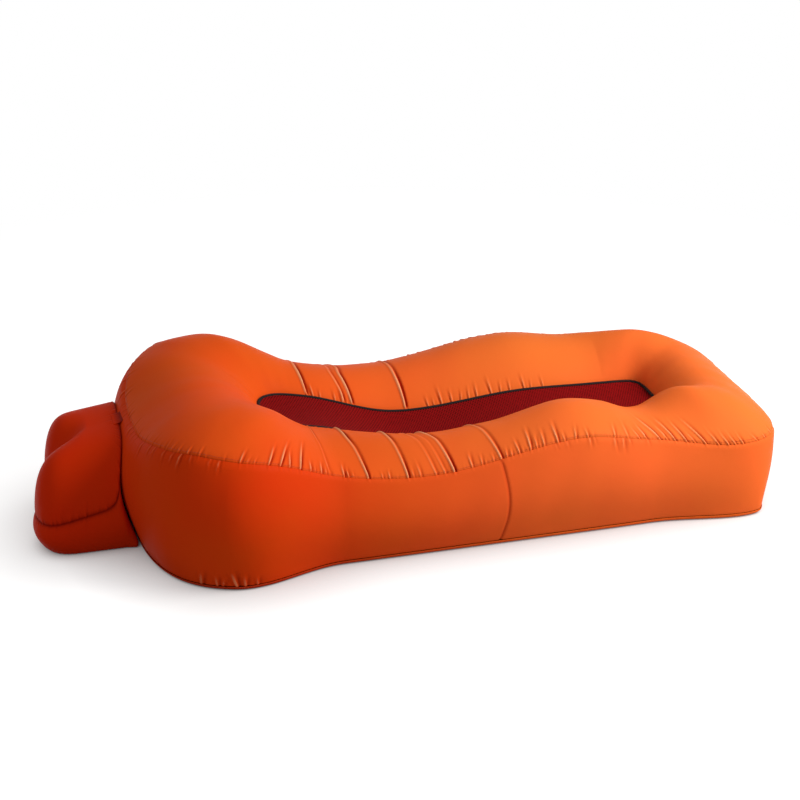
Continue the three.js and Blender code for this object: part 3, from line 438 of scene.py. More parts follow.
def creased(run, down, up, seed):
    """The height of all gathers over the top panel. down and up are the distances from the outer
    seam and from the mesh edge."""
    total = np.zeros(np.broadcast(run, down).shape)
    dice = np.random.default_rng(seed)
    for x, length, height, width in NEAR_SEAM_CREASES:
        lean, curl = dice.uniform(-0.16, 0.06), dice.uniform(-0.10, 0.10)
        if x > 0.5:
            lean -= 0.35
        total += gather(run, down, run_at(x, -1), length, height * 1e-3, width * 1e-3, lean, curl)
    for x, length, height, width in FAR_SLOT_CREASES:
        lean = dice.uniform(-0.1, 0.2)
        total += gather(run, up, run_at(x, 1), length, height * 1e-3, width * 1e-3, lean)
    whole = down + up
    for side, seam_x, slot_x, height, width, kink in LONG_CREASES:
        t = np.clip(up / whole, 0, 1)
        bend = kink * (smooth((t - 0.35) / 0.25) - t)
        x = slot_x + (seam_x - slot_x) * t + bend
        off = apart(run, run_at(x, side)) / (GATHER_WIDTH * width * 1e-3 * (0.85 + 0.4 * np.sin(np.pi * t)))
        fade = (0.70 + 0.30 * np.cos(2 * np.pi * (t - 0.12))) * smooth(t / 0.04) * smooth((1.03 - t) / 0.05)
        total += height * 1.25e-3 * fade * (np.exp(-(off**2)) - np.exp(-((off + 1.6 * side) ** 2)))
    # Seams that the photograph hides or shows as a fine gather: seeded, by the side of the tube
    for low, high, share in (
        (run_at(0.90, 1), run_at(-0.60, 1), 1.0),
        (run_at(0.93, -1) % FULL_RUN, FULL_RUN + run_at(0.93, 1), 0.9),
        (run_at(-0.60, 1), run_at(-0.64, -1), 0.7),
        (run_at(-0.62, -1), run_at(0.90, -1), 0.35),
    ):
        at = low
        while at < high:
            length = dice.uniform(0.018, 0.075) * share
            total += gather(
                run, down, at, max(length, SHORTEST_GATHER), dice.uniform(0.8, 2.4) * 1e-3 * share,
                dice.uniform(3.2, 4.6) * 1e-3, dice.uniform(-0.2, 0.2), dice.uniform(-0.1, 0.1),
            )
            at += dice.uniform(0.012, 0.042)
    at = run_at(0.66, -1)
    while at > run_at(-0.30, -1):
        length = dice.uniform(0.015, 0.045)
        total += gather(run, up, at, length, dice.uniform(0.7, 1.6) * 1e-3, dice.uniform(3.0, 4.2) * 1e-3)
        at -= dice.uniform(0.02, 0.06)
    return total


def slack(run, across, height, seed):
    """A soft uneven swell of the stretched cloth, as a sum of seeded waves."""
    dice = np.random.default_rng(seed)
    total = np.zeros(np.broadcast(run, across).shape)
    for _ in range(SLACK_WAVES):
        turns, rate = dice.integers(8, 40), dice.uniform(5, 26)
        wave = 2 * np.pi * turns * run / FULL_RUN + rate * across + dice.uniform(0, 6.28)
        total += np.sin(wave) / SLACK_WAVES**0.5
    return height * total


def add_sockets(group, in_out, kind, *names):
    for name in names:
        group.interface.new_socket(name, in_out=in_out, socket_type="NodeSocket" + kind)


def reckoner(nodes, links):
    """A function that adds a maths node to a tree. Its inputs are numbers or other nodes' outputs."""

    def reckon(kind, a, b=0.0, clamp=False):
        node = nodes.new("ShaderNodeMath")
        node.operation, node.use_clamp = kind, clamp
        for socket, value in zip(node.inputs, (a, b)):
            if isinstance(value, (int, float)):
                socket.default_value = value
            else:
                links.new(value, socket)
        return node.outputs[0]

    return reckon


def fabric_group():
    """Coated satin nylon: fine weave, soft cloudy dye, faint creasing of the coating, and painted shade and
    highlights.
    """
    group = bpy.data.node_groups.new("coated satin nylon", "ShaderNodeTree")
    add_sockets(group, "INPUT", "Color", "Dye", "Foot Dye", "Fold Dye", "Ridge Dye")
    add_sockets(group, "INPUT", "Float", "Thread Pitch")
    add_sockets(group, "OUTPUT", "Color", "Base Color")
    add_sockets(group, "OUTPUT", "Float", "Roughness")
    add_sockets(group, "OUTPUT", "Vector", "Normal")
    nodes, links = group.nodes, group.links
    reckon = reckoner(nodes, links)
    given, result = nodes.new("NodeGroupInput"), nodes.new("NodeGroupOutput")
    place = nodes.new("ShaderNodeTexCoord")
    cloudy, fine = noise(nodes, links, place, 2.6, 3), noise(nodes, links, place, 26, 4, 0.6)
    split = nodes.new("ShaderNodeSeparateXYZ")
    links.new(place.outputs["UV"], split.inputs[0])
    threads = []
    for axis in ("X", "Y"):
        turns = reckon("DIVIDE", split.outputs[axis], given.outputs["Thread Pitch"])
        threads.append(reckon("ABSOLUTE", reckon("SINE", reckon("MULTIPLY", turns, math.pi))))
    weave = reckon("MULTIPLY", threads[0], threads[1])
    fold, foot_light_share = nodes.new("ShaderNodeAttribute"), nodes.new("ShaderNodeAttribute")
    fold.attribute_name, foot_light_share.attribute_name = "fold", "footward"
    # Painted light over the dye: lighter towards the foot (painted light), paler on gather ridges (painted
    # highlight), darker in creases and along seams (painted shade).
    tint = given.outputs["Dye"]
    for over, share in (
        ("Foot Dye", foot_light_share.outputs["Fac"]),
        ("Ridge Dye", reckon("MULTIPLY", fold.outputs["Fac"], -1.0, True)),
        ("Fold Dye", reckon("MULTIPLY", fold.outputs["Fac"], 1.0, True)),
    ):
        tint = blended(nodes, links, tint, given.outputs[over], share)
    tone = nodes.new("ShaderNodeHueSaturation")
    value = reckon("ADD", reckon("MULTIPLY", cloudy.outputs["Fac"], 0.16), 0.92)
    links.new(reckon("ADD", value, reckon("MULTIPLY", weave, 0.03)), tone.inputs["Value"])
    links.new(reckon("ADD", reckon("MULTIPLY", cloudy.outputs["Fac"], -0.012), 0.506), tone.inputs["Hue"])
    links.new(tint, tone.inputs["Color"])
    links.new(tone.outputs["Color"], result.inputs["Base Color"])
    links.new(reckon("ADD", reckon("MULTIPLY", fine.outputs["Fac"], 0.16), 0.34), result.inputs["Roughness"])
    woven = raised_by(nodes, links, weave, result, 0.12, 0.0002)
    raised_by(nodes, links, fine.outputs["Fac"], woven, 0.18, 0.004)
    return group


satin = fabric_group()


def nylon(name, dye, painted_foot_light, fold_dye):
    """A cover material with its own dye, painted lighter from the head end to the foot end, painted darker in
    its folds and paler on their ridges.
    """
    material, nodes, links, shader = new_material(name)
    dye_and_painted_light = {"Dye": dye, "Foot_Dye": painted_foot_light, "Fold_Dye": fold_dye, "Ridge_Dye": PAINTED_RIDGE_HIGHLIGHT}
    dye_and_painted_light = {label: (*colour, 1) for label, colour in dye_and_painted_light.items()}
    group_into(nodes, links, shader, satin, Thread_Pitch=THREAD_PITCH, **dye_and_painted_light)
    shader.inputs["Specular IOR Level"].default_value = 0.012
    return material


# The painted light towards the foot starts and ends at these x.
THREAD_PITCH, FOOT_LIGHT_START, FOOT_LIGHT_END = 0.0009, -0.55, 0.55
# The colour of the painted highlight on each gather's raised side.
PAINTED_RIDGE_HIGHLIGHT = (0.98, 0.46, 0.22)
# Lit and shaded copies of one nylon: the side's dye is darker and redder than the top's as painted shade, and
# both foot colours are painted light.
top_nylon = nylon("orange top nylon", (0.86, 0.090, 0.010), (0.90, 0.175, 0.032), (0.34, 0.012, 0.002))
shaded_side_nylon = nylon("shaded orange side nylon", (0.80, 0.052, 0.004), (0.90, 0.150, 0.028), (0.30, 0.010, 0.001))


def ridged(lift):
    """How bright the raised side of each gather is, where the coating catches the light."""
    return 0.95 * np.clip(lift / RIDGE_HEIGHT - 0.2, 0, 1)


def footward(points):
    """How far towards the foot each point is, for the painted light that makes the cover lighter that way."""
    return smooth((points[..., 0] - FOOT_LIGHT_START) / (FOOT_LIGHT_END - FOOT_LIGHT_START)).ravel()


def lengths_along(points):
    """The length from the first row to each row of a grid."""
    steps = np.linalg.norm(np.diff(points, axis=1), axis=-1)
    return np.concatenate([np.zeros((len(points), 1)), np.cumsum(steps, 1)], 1)


steps = np.linspace(0, FULL_RUN, 4001)
near_shown = (steps > run_at(-0.66, -1)) & (steps < run_at(0.92, -1))
shown = near_shown | (steps > run_at(0.56, 1)) & (steps < run_at(-0.32, 1))
density = np.append(0, np.cumsum(np.where(shown[:-1], 2.6, 1.0)))
top_runs = np.interp(np.arange(TOP_COLUMNS) / TOP_COLUMNS, density / density[-1], steps)[:, None]
top_shares = ((1 - np.cos(np.pi * np.linspace(0, 1, TOP_ROWS))) / 2)[None, :]
top_points = over_top(top_runs, top_shares)
from_slot = lengths_along(top_points)
from_seam = from_slot[:, -1:] - from_slot
lift = creased(top_runs, from_seam, from_slot, seed=4)
# Painted shade and highlight: positive darkens each gather's valley and the outer seam, negative lightens its
# ridge.
fold = np.clip(-lift / FOLD_DEPTH, 0, 1) ** 1.2 + 0.3 * np.exp(-from_seam / 0.0035) - ridged(lift)
lift += slack(top_runs, from_slot, 0.0005, seed=2) * smooth(from_seam / 0.03) * smooth(from_slot / 0.03)
lift -= SEAM_PINCH * np.exp(-from_seam / SEAM_PINCH_WIDTH)
top_normals = outward(top_points, True)
top_surface = top_points + top_normals * lift[..., None]
faces = grid_faces(TOP_COLUMNS, TOP_ROWS, True)
flat = np.stack(np.broadcast_arrays(top_runs, from_slot), -1)
top_panel = new_piece(
    "cover_top", top_surface, faces, top_nylon, flat,
    fold=fold.clip(-1, 1).ravel(), footward=footward(top_surface),
)
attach(top_panel, "lounger")
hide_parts("cover_top_panel")

# ---------------------------------------------------------------------------
# Cover side bands. Two strips of the same nylon round the outside, one for the
# head and one for the foot, joined by an upright seam on each side and sewn to
# the top panel and to the base's hem.
BAND_STEP, BAND_ROWS = 0.0026, 40
UPRIGHT_BOW = 0.014
UPRIGHT_REACH = 0.10
BAND_PINCH = 0.0022
# Creases below the outer seam, and pleats that rise from the hem: x, length, height and width as above
NEAR_BAND_CREASES = [
    (-0.70, 0.050, 1.4, 4.4), (-0.682, 0.036, 1.2, 4.0), (-0.665, 0.044, 1.3, 4.2),
    (-0.648, 0.040, 1.5, 3.8), (-0.632, 0.050, 2.0, 4.2), (-0.612, 0.030, 1.2, 3.6),
    (-0.570, 0.030, 1.2, 3.8), (-0.550, 0.036, 1.6, 4.0), (0.300, 0.020, 1.0, 3.6),
    (0.330, 0.022, 1.0, 3.8), (0.390, 0.030, 1.4, 4.4), (0.402, 0.020, 1.0, 3.6),
    (0.456, 0.040, 1.6, 4.4), (0.480, 0.042, 1.6, 4.6), (0.497, 0.024, 1.1, 4.0),
    (0.545, 0.024, 0.9, 4.4), (0.915, 0.060, 1.8, 5.0), (0.935, 0.080, 2.2, 6.0),
]
HEM_PLEATS = [
    (-0.600, 0.050, 2.2, 6.0), (-0.565, 0.040, 2.0, 5.4), (-0.552, 0.030, 1.6, 5.0),
    (-0.520, 0.055, 2.6, 6.4), (-0.500, 0.040, 2.0, 5.4), (-0.470, 0.030, 1.6, 5.0),
    (0.900, 0.030, 1.4, 5.0), (0.930, 0.040, 1.6, 6.0),
]


def band_surface(runs, shares):
    """The side band with its pinched seams, gathers and pleats, its painted shade and highlight, and its
    lengths down.
    """
    points = down_side(runs, shares)
    down = lengths_along(points)
    up = down[:, -1:] - down
    dice = np.random.default_rng(11)
    lift = np.zeros(down.shape)
    for x, length, height, width in NEAR_BAND_CREASES:
        lean = dice.uniform(-0.2, 0.1)
        lift += gather(runs, down, run_at(x, -1), length, height * 1e-3, width * 1e-3, lean)
    for x, length, height, width in HEM_PLEATS:
        lean = dice.uniform(-0.3, 0.3)
        lift += gather(runs, up, run_at(x, -1), length, height * 1e-3, width * 1e-3, lean)
    for low, high, share in (
        (run_at(0.92, 1), run_at(-0.60, 1), 0.8),
        (run_at(0.93, -1), FULL_RUN + run_at(0.93, 1), 0.9),
        (run_at(-0.60, 1), run_at(-0.68, -1), 0.9),
    ):
        at = low
        while at < high:
            lift += gather(
                runs, down, at, dice.uniform(0.018, 0.055) * share, dice.uniform(0.7, 1.9) * 1e-3 * share,
                dice.uniform(3.6, 5.0) * 1e-3, dice.uniform(-0.2, 0.2),
            )
            lift += gather(
                runs, up, at + 0.01, dice.uniform(0.015, 0.045) * share,
                dice.uniform(0.6, 1.6) * 1e-3 * share,
                dice.uniform(4.0, 6.0) * 1e-3, dice.uniform(-0.2, 0.2),
            )
            at += dice.uniform(0.02, 0.06)
    # Painted shade in the valleys and painted highlight on the ridges.
    fold = np.clip(-lift / 0.003, 0, 1) - ridged(lift)
    lift += slack(runs, down, 0.0006, seed=5) * smooth(down / 0.03) * smooth(up / 0.03)
    lift -= BAND_PINCH * (np.exp(-down / 0.005) + 0.3 * np.exp(-up / 0.004))
    seam_off = np.minimum(*[np.abs(apart(runs, at)) for at in upright_runs(shares)])
    lift -= 0.0022 * np.exp(-((seam_off / 0.0035) ** 2))
    # Painted shade along the upright seams.
    fold += 0.5 * np.exp(-((seam_off / 0.004) ** 2))
    return points + outward(points, False) * lift[..., None], fold.clip(-1, 1), down


def top_rim(runs):
    """Points of the top panel's outer edge, to which the bands are sewn."""
    at, rim = np.mod(runs, FULL_RUN), top_surface[:, -1]
    return np.stack([np.interp(at, top_runs[:, 0], rim[:, k], period=FULL_RUN) for k in range(3)], -1)


def upright_runs(shares):
    """Where the two upright seams pass each height of the band. They bow towards the foot."""
    bow = UPRIGHT_BOW * np.sin(np.pi * shares)
    return SIDE_SEAM_RUN - bow, NEAR_SEAM_RUN + bow


def bowed(runs, shares, ends):
    """Moves a band's columns near its upright seams so that they follow the seams' bow."""
    moved = runs + 0 * shares
    for end, sign in ends:
        near = 1 - smooth(np.abs(apart(runs, end)) / UPRIGHT_REACH)
        moved = moved + sign * UPRIGHT_BOW * np.sin(np.pi * shares) * near
    return moved


def opened(piece, centre):
    """Cuts a round hole for a valve through a band, about an axis along +Y."""
    made = bmesh.new()
    made.from_mesh(piece.data)
    made.verts.ensure_lookup_table()

    def within(place, radius):
        off = math.hypot(place.x - centre[0], place.z - centre[2])
        return off < radius and abs(place.y - centre[1]) < HOLE_DEPTH

    for k in range(HOLE_SIDES):
        angle = 2 * math.pi * k / HOLE_SIDES
        normal = Vector((math.cos(angle), 0, math.sin(angle)))
        point = Vector(centre) + normal * HOLE_RADIUS
        local = [f for f in made.faces if any(within(v.co, HOLE_RADIUS * 1.25) for v in f.verts)]
        parts = {*local, *(e for f in local for e in f.edges), *(v for f in local for v in f.verts)}
        bmesh.ops.bisect_plane(made, geom=list(parts), plane_co=point, plane_no=normal)
    inside = [f for f in made.faces if within(f.calc_center_median(), HOLE_RADIUS * 0.995)]
    bmesh.ops.delete(made, geom=inside, context="FACES")
    made.to_mesh(piece.data)
    made.free()


VALVE_HEIGHT, HEAD_VALVE_X, FOOT_VALVE_X = 0.106, 0.010, 0.280
HOLE_RADIUS, HOLE_SIDES, HOLE_DEPTH = 0.025, 40, 0.06


def band_at(x, height):
    """The y of the far side's band at x and a height."""
    run = run_at(x, 1)
    shares = np.linspace(0, 1, 400)
    line = down_side(run, shares)
    return float(np.interp(-height, -line[:, 2], line[:, 1]))


HEAD_VALVE = (HEAD_VALVE_X, band_at(HEAD_VALVE_X, VALVE_HEIGHT), VALVE_HEIGHT)
FOOT_VALVE = (FOOT_VALVE_X, band_at(FOOT_VALVE_X, VALVE_HEIGHT), VALVE_HEIGHT)

for name, start, end, valve_at in (
    ("cover_side_foot", NEAR_SEAM_RUN - FULL_RUN, SIDE_SEAM_RUN, FOOT_VALVE),
    ("cover_side_head", SIDE_SEAM_RUN, NEAR_SEAM_RUN, HEAD_VALVE),
):
    runs = np.linspace(start, end, int((end - start) / BAND_STEP))[:, None]
    shares = np.linspace(0, 1, BAND_ROWS)[None, :]
    foot = name.endswith("foot")
    ends = ((start, 1 if foot else -1), (end, -1 if foot else 1))
    bent = bowed(runs, shares, ends)
    surface, fold, down = band_surface(bent, shares)
    surface[:, 0] = top_rim(bent[:, 0])
    faces = grid_faces(len(runs), BAND_ROWS, False)
    flat = np.stack([bent, down], -1)
    band = new_piece(name, surface, faces, shaded_side_nylon, flat, fold=fold.ravel(), footward=footward(surface))
    opened(band, valve_at)
    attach(band, "lounger")
    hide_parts("cover_band_foot" if foot else "cover_band_head")

# ---------------------------------------------------------------------------
# Cover base panel. A flat ring of the cover's nylon under the air tube, darker as painted shade
# towards the head and lighter as painted light towards the foot. Its edge turns up into the hem,
# which is topstitched.
BASE_COLUMNS, BASE_EDGE = 900, 0.013
BASE_SHARES = [0, 0.12, 0.3, 0.5, 0.7, 0.88, 1]
shaded_hem_nylon = nylon("shaded orange hem nylon", (0.52, 0.028, 0.003), (0.92, 0.150, 0.018), (0.45, 0.030, 0.004))

base_runs = even_runs(BASE_COLUMNS)
cut = cut_at(base_runs)
width = cut["hem"]
# The hem's turn from the band down to the floor, as its distance out of the hem's line and its height
hem_turn = [
    (0.0006, HEM_HEIGHT - 0.001), (0.0016, HEM_HEIGHT - 0.004), (-0.0008, 0.0058), (-0.0045, 0.0024),
    (-0.010, 0.0006),
]
columns = [placed(cut, width + out, height) for out, height in hem_turn]
for share in BASE_SHARES[1:-1]:
    columns.append(placed(cut, width - BASE_EDGE - (width - 2 * BASE_EDGE) * share, 0.0))
columns += [placed(cut, 0.010, 0.0006), placed(cut, 0.005, 0.004), placed(cut, 0.0005, HEM_HEIGHT)]
base_points = np.concatenate(columns, 1)
base_down = lengths_along(base_points)
base = new_piece(
    "cover_base", base_points, grid_faces(BASE_COLUMNS, base_points.shape[1], True), shaded_hem_nylon,
    np.stack(np.broadcast_arrays(base_runs, base_down), -1), fold=0.0, footward=footward(base_points),
)
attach(base, "lounger")
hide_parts("cover_base_panel")

# ---------------------------------------------------------------------------
# Cover inner wall. The strip of nylon that closes the air tube's inner side,
# between the base and the mesh strip, and bulges a little into the well.
WALL_COLUMNS, WALL_ROWS = 900, 14
wall_runs = even_runs(WALL_COLUMNS)
wall_shares = np.linspace(0, 1, WALL_ROWS)[None, :]
wall_points = up_wall(wall_runs, wall_shares)
wall_up = lengths_along(wall_points)
wall = new_piece(
    "cover_inner_side", wall_points, grid_faces(WALL_COLUMNS, WALL_ROWS, True), shaded_side_nylon,
    np.stack(np.broadcast_arrays(wall_runs, wall_up), -1), fold=0.0, footward=footward(wall_points),
)
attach(wall, "lounger")
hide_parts("cover_inner_wall")

# ---------------------------------------------------------------------------
# Mesh strip. A maroon open net of coated yarn, stretched over the well and sewn
# into a round black binding tape that follows the cover's inner edge.
MESH_COLUMNS, MESH_ROWS = 420, 26
BINDING_RADIUS, BINDING_GAP, MESH_SAG = 0.0040, 0.0004, 0.007
BINDING_COLUMNS, BINDING_SIDES = 900, 14

net, nodes, links, shader = new_material("maroon net")
group = bpy.data.node_groups.new("open net", "ShaderNodeTree")
add_sockets(group, "INPUT", "Float", "Pitch", "Hole Size")
add_sockets(group, "INPUT", "Color", "Yarn", "Yarn Shade")
add_sockets(group, "OUTPUT", "Color", "Base Color")
add_sockets(group, "OUTPUT", "Float", "Alpha")
add_sockets(group, "OUTPUT", "Vector", "Normal")
gn, gl = group.nodes, group.links
given, result = gn.new("NodeGroupInput"), gn.new("NodeGroupOutput")
cloth_place = gn.new("ShaderNodeTexCoord")
counted = reckoner(gn, gl)
parts = gn.new("ShaderNodeSeparateXYZ")
gl.new(cloth_place.outputs["UV"], parts.inputs[0])
along = counted("DIVIDE", parts.outputs["X"], given.outputs["Pitch"])
across = counted("DIVIDE", parts.outputs["Y"], given.outputs["Pitch"])
row = counted("FLOOR", across)
shifted = counted("ADD", along, counted("MULTIPLY", counted("MODULO", row, 2.0), 0.5))
du = counted("SUBTRACT", counted("FRACT", shifted), 0.5)
dv = counted("SUBTRACT", counted("FRACT", across), 0.5)
radius = counted("SQRT", counted("ADD", counted("MULTIPLY", du, du), counted("MULTIPLY", dv, dv)))
hole = counted("LESS_THAN", radius, given.outputs["Hole Size"])
# The middle of each cell, round its hole, is a dimple in painted shade, darker than the yarn.
depth = counted("SUBTRACT", 1.0, counted("MULTIPLY", radius, 2.0), True)
uneven = noise(gn, gl, cloth_place, 60, 3)
shading = counted("MULTIPLY", depth, counted("ADD", uneven.outputs["Fac"], 1.0), True)
yarn = blended(gn, gl, given.outputs["Yarn"], given.outputs["Yarn Shade"], shading)
gl.new(yarn, result.inputs["Base Color"])
gl.new(counted("SUBTRACT", 1.0, hole), result.inputs["Alpha"])
raised_by(gn, gl, counted("SUBTRACT", 1.0, depth), result, 0.8, 0.0008)
group_into(
    nodes, links, shader, group,
    Pitch=0.0070, Hole_Size=0.06, Yarn=(0.34, 0.009, 0.010, 1), Yarn_Shade=(0.003, 0.0003, 0.0003, 1),
)
shader.inputs["Roughness"].default_value = 0.6
shader.inputs["Specular IOR Level"].default_value = 0.01

tape_black, nodes, links, shader = new_material("black tape")
place, ribs = nodes.new("ShaderNodeTexCoord"), nodes.new("ShaderNodeTexWave")
ribs.inputs["Scale"].default_value = 700
shade = shaded(nodes, (0.006, 0.006, 0.007), (0.020, 0.018, 0.018))
links.new(place.outputs["UV"], ribs.inputs["Vector"])
links.new(ribs.outputs["Fac"], shade.inputs["Fac"])
links.new(shade.outputs["Color"], shader.inputs["Base Color"])
raised_by(nodes, links, ribs.outputs["Fac"], shader, 0.3, 0.0003)
shader.inputs["Roughness"].default_value = 0.6
shader.inputs["Specular IOR Level"].default_value = 0.08


def slot_edge(runs, out):
    cut = cut_at(runs)
    return placed(cut, -out, cut["mesh"])


far_half = np.linspace(0, HEAD_RUN, MESH_COLUMNS)[:, None]
edge = slot_edge(far_half, BINDING_RADIUS + BINDING_GAP + 0.002)
spread_share = np.linspace(-1, 1, MESH_ROWS)[None, :]
sag = MESH_SAG * (1 - spread_share**2) * smooth(edge[..., 1] / SLOT_HALF_WIDTH)
mesh_points = np.stack(np.broadcast_arrays(edge[..., 0], edge[..., 1] * spread_share, edge[..., 2] - sag), -1)
flat = np.stack(np.broadcast_arrays(edge[..., 0], edge[..., 1] * spread_share), -1)
mesh_strip = new_piece("mesh_strip", mesh_points, grid_faces(MESH_COLUMNS, MESH_ROWS, False), net, flat)
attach(mesh_strip, "lounger")
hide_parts("seat_mesh")

binding_runs = even_runs(BINDING_COLUMNS)
around = (2 * np.pi * np.arange(BINDING_SIDES) / BINDING_SIDES)[None, :]
cut = cut_at(binding_runs)
tube_out = BINDING_RADIUS * np.cos(around) - BINDING_RADIUS - BINDING_GAP
binding_points = placed(cut, tube_out, cut["mesh"] + BINDING_RADIUS * np.sin(around))
faces = []
for i in range(BINDING_COLUMNS):
    n = (i + 1) % BINDING_COLUMNS
    for j in range(BINDING_SIDES):
        k = (j + 1) % BINDING_SIDES
        a, b = i * BINDING_SIDES, n * BINDING_SIDES
        faces.append([a + j, b + j, b + k, a + k])
slot_steps = np.linalg.norm(np.diff(slot_edge(binding_runs, 0)[:, 0], axis=0), axis=1)
slot_run = np.append(0, np.cumsum(slot_steps))[:, None]
flat = np.stack(np.broadcast_arrays(slot_run, around * BINDING_RADIUS), -1)
binding = turned_out(new_piece("binding", binding_points, faces, tape_black, flat))
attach(binding, "lounger")
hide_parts("mesh_binding")

# ---------------------------------------------------------------------------
# Valves. Each chamber has a welded boston valve: a soft ring and neck, a one-way
# insert and a cap with a finger tab. They are moulded from dark grey TPU.
VALVE_TURN, VALVE_SOFTENING = 72, 0.0003

moulded, nodes, links, shader, grain = speckled(
    "moulded valve plastic", (0.020, 0.021, 0.023), (0.034, 0.035, 0.037), 900, 0.42
)
raised_by(nodes, links, grain.outputs["Fac"], shader, 0.15, 0.0002)

# Closed profiles as radius and distance out of the band: ring and neck, one-way insert, its flap, the lid
RING_PROFILE = [
    (0.011, -0.0194), (0.014, -0.0194), (0.014, -0.0054), (0.024, -0.0054), (0.024, -0.0044),
    (0.0232, -0.0036), (0.021, -0.0036), (0.0205, -0.0029), (0.0165, -0.0029), (0.0145, -0.0029),
    (0.014, -0.0009), (0.011, -0.0009),
]
INSERT_PROFILE = [(0.0092, -0.014), (0.0106, -0.014), (0.0106, -0.0053), (0.0092, -0.0053)]
FLAP_PROFILE = [(0.0, -0.0139), (0.0075, -0.0135), (0.0075, -0.0131), (0.0, -0.0129)]
LID_PROFILE = [
    (0.0, -0.0048), (0.0098, -0.0048), (0.0104, -0.0042), (0.0104, -0.0004), (0.016, -0.0004),
    (0.016, 0.0016), (0.0152, 0.0024), (0.0135, 0.0024), (0.0128, 0.0018), (0.0045, 0.0018),
    (0.0040, 0.0023), (0.0, 0.0024),
]
TAB_RIBS, TAB_RIB_START, TAB_RIB_PITCH, TAB_RIB_WIDTH = 3, 0.0170, 0.002, 0.0008


def lathed(profile, at, made=None):
    """Turns a closed profile of radius and height about an axis along +Y."""
    made = made or bmesh.new()
    rings = []
    for k in range(VALVE_TURN):
        c, s = math.cos(2 * math.pi * k / VALVE_TURN), math.sin(2 * math.pi * k / VALVE_TURN)
        rings.append([made.verts.new((at[0] + r * c, at[1] + h, at[2] + r * s)) for r, h in profile])
    count = len(profile)
    for k in range(VALVE_TURN):
        a, b = rings[k], rings[(k + 1) % VALVE_TURN]
        for j in range(count):
            n = (j + 1) % count
            made.faces.new([a[j], b[j], b[n], a[n]])
    return made


def block(made, at, low, high):
    """Adds a box between two corners that are given from a place."""
    xs, ys, zs = [[at[k] + low[k], at[k] + high[k]] for k in range(3)]
    corners = [made.verts.new((x, y, z)) for x in xs for y in ys for z in zs]
    for face in ((0, 1, 3, 2), (4, 6, 7, 5), (0, 4, 5, 1), (2, 3, 7, 6), (0, 2, 6, 4), (1, 5, 7, 3)):
        made.faces.new([corners[i] for i in face])


def moulding(name, made, material, soften):
    """A finished mesh from bmesh work, with welded poles, outward faces and softened edges."""
    bmesh.ops.remove_doubles(made, verts=made.verts, dist=1e-6)
    bmesh.ops.dissolve_degenerate(made, edges=made.edges, dist=1e-7)
    bmesh.ops.recalc_face_normals(made, faces=made.faces)
    mesh = bpy.data.meshes.new(name)
    made.to_mesh(mesh)
    made.free()
    mesh.materials.append(material)
    piece = new_object(name, mesh)
    if soften:
        bevel = piece.modifiers.new("softened edges", "BEVEL")
        bevel.width, bevel.segments, bevel.limit_method = soften, 2, "ANGLE"
    mesh.shade_smooth()
    return piece


def valve_pieces(end, at, bodies):
    ring = moulding("valve_ring_" + end, lathed(RING_PROFILE, at), moulded, VALVE_SOFTENING)
    made = lathed(INSERT_PROFILE, at)
    block(made, at, (-0.0095, -0.013, -0.0008), (0.0095, -0.011, 0.0008))
    block(made, at, (-0.0008, -0.0128, -0.0095), (0.0008, -0.0112, 0.0095))
    lathed(FLAP_PROFILE, at, made)
    insert = moulding("valve_one_way_" + end, made, moulded, 0)
    made = lathed(LID_PROFILE, at)
    block(made, at, (-0.005, -0.0003, 0.0155), (0.005, 0.0012, 0.0228))
    for k in range(TAB_RIBS):
        z = TAB_RIB_START + TAB_RIB_PITCH * k
        block(made, at, (-0.004, 0.0011, z), (0.004, 0.0017, z + TAB_RIB_WIDTH))
    cap = moulding("valve_lid_" + end, made, moulded, VALVE_SOFTENING)
    for piece, node, body in (
        (ring, "valve_seat_", bodies[0]),
        (insert, "valve_insert_", bodies[0]),
        (cap, "valve_cap_", bodies[1]),
    ):
        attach(piece, body)
        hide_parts(node + end)


valve_pieces("head", HEAD_VALVE, ("lounger", "head_valve_cap"))
valve_pieces("foot", FOOT_VALVE, ("lounger", "foot_valve_cap"))

# ---------------------------------------------------------------------------
# Zip. It closes the slit in the foot band through which the chamber goes in: a
# black tape, a coil of teeth along its middle, and a metal slider with a pull.
ZIP_START, ZIP_END, ZIP_HEIGHT, ZIP_WIDTH = 0.1904, 0.4996, 0.056, 0.021
ZIP_COLUMNS, ZIP_ROWS = 130, 5
CHAIN_START, CHAIN_END, TOOTH_PITCH = 0.198, 0.492, 0.0022


def band_line(xs, height, out):
    """Points of the far band at a height, moved out from it."""
    return np.array([(x, band_at(x, height) + out, height) for x in xs])


zip_xs = np.linspace(ZIP_START, ZIP_END, ZIP_COLUMNS)
zip_heights = [ZIP_HEIGHT + ZIP_WIDTH * (j / (ZIP_ROWS - 1) - 0.5) for j in range(ZIP_ROWS)]
zip_rows = [band_line(zip_xs, height, 0.0007) for height in zip_heights]
tape_points = np.stack(zip_rows, 1)
flat = np.stack([tape_points[..., 0], tape_points[..., 2]], -1)
zip_band = new_piece("zip_band", tape_points, grid_faces(ZIP_COLUMNS, ZIP_ROWS, False), tape_black, flat)
thick = zip_band.modifiers.new("cloth thickness", "SOLIDIFY")
thick.thickness, thick.offset = 0.0007, 0
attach(zip_band, "lounger")
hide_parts("zip_tape")


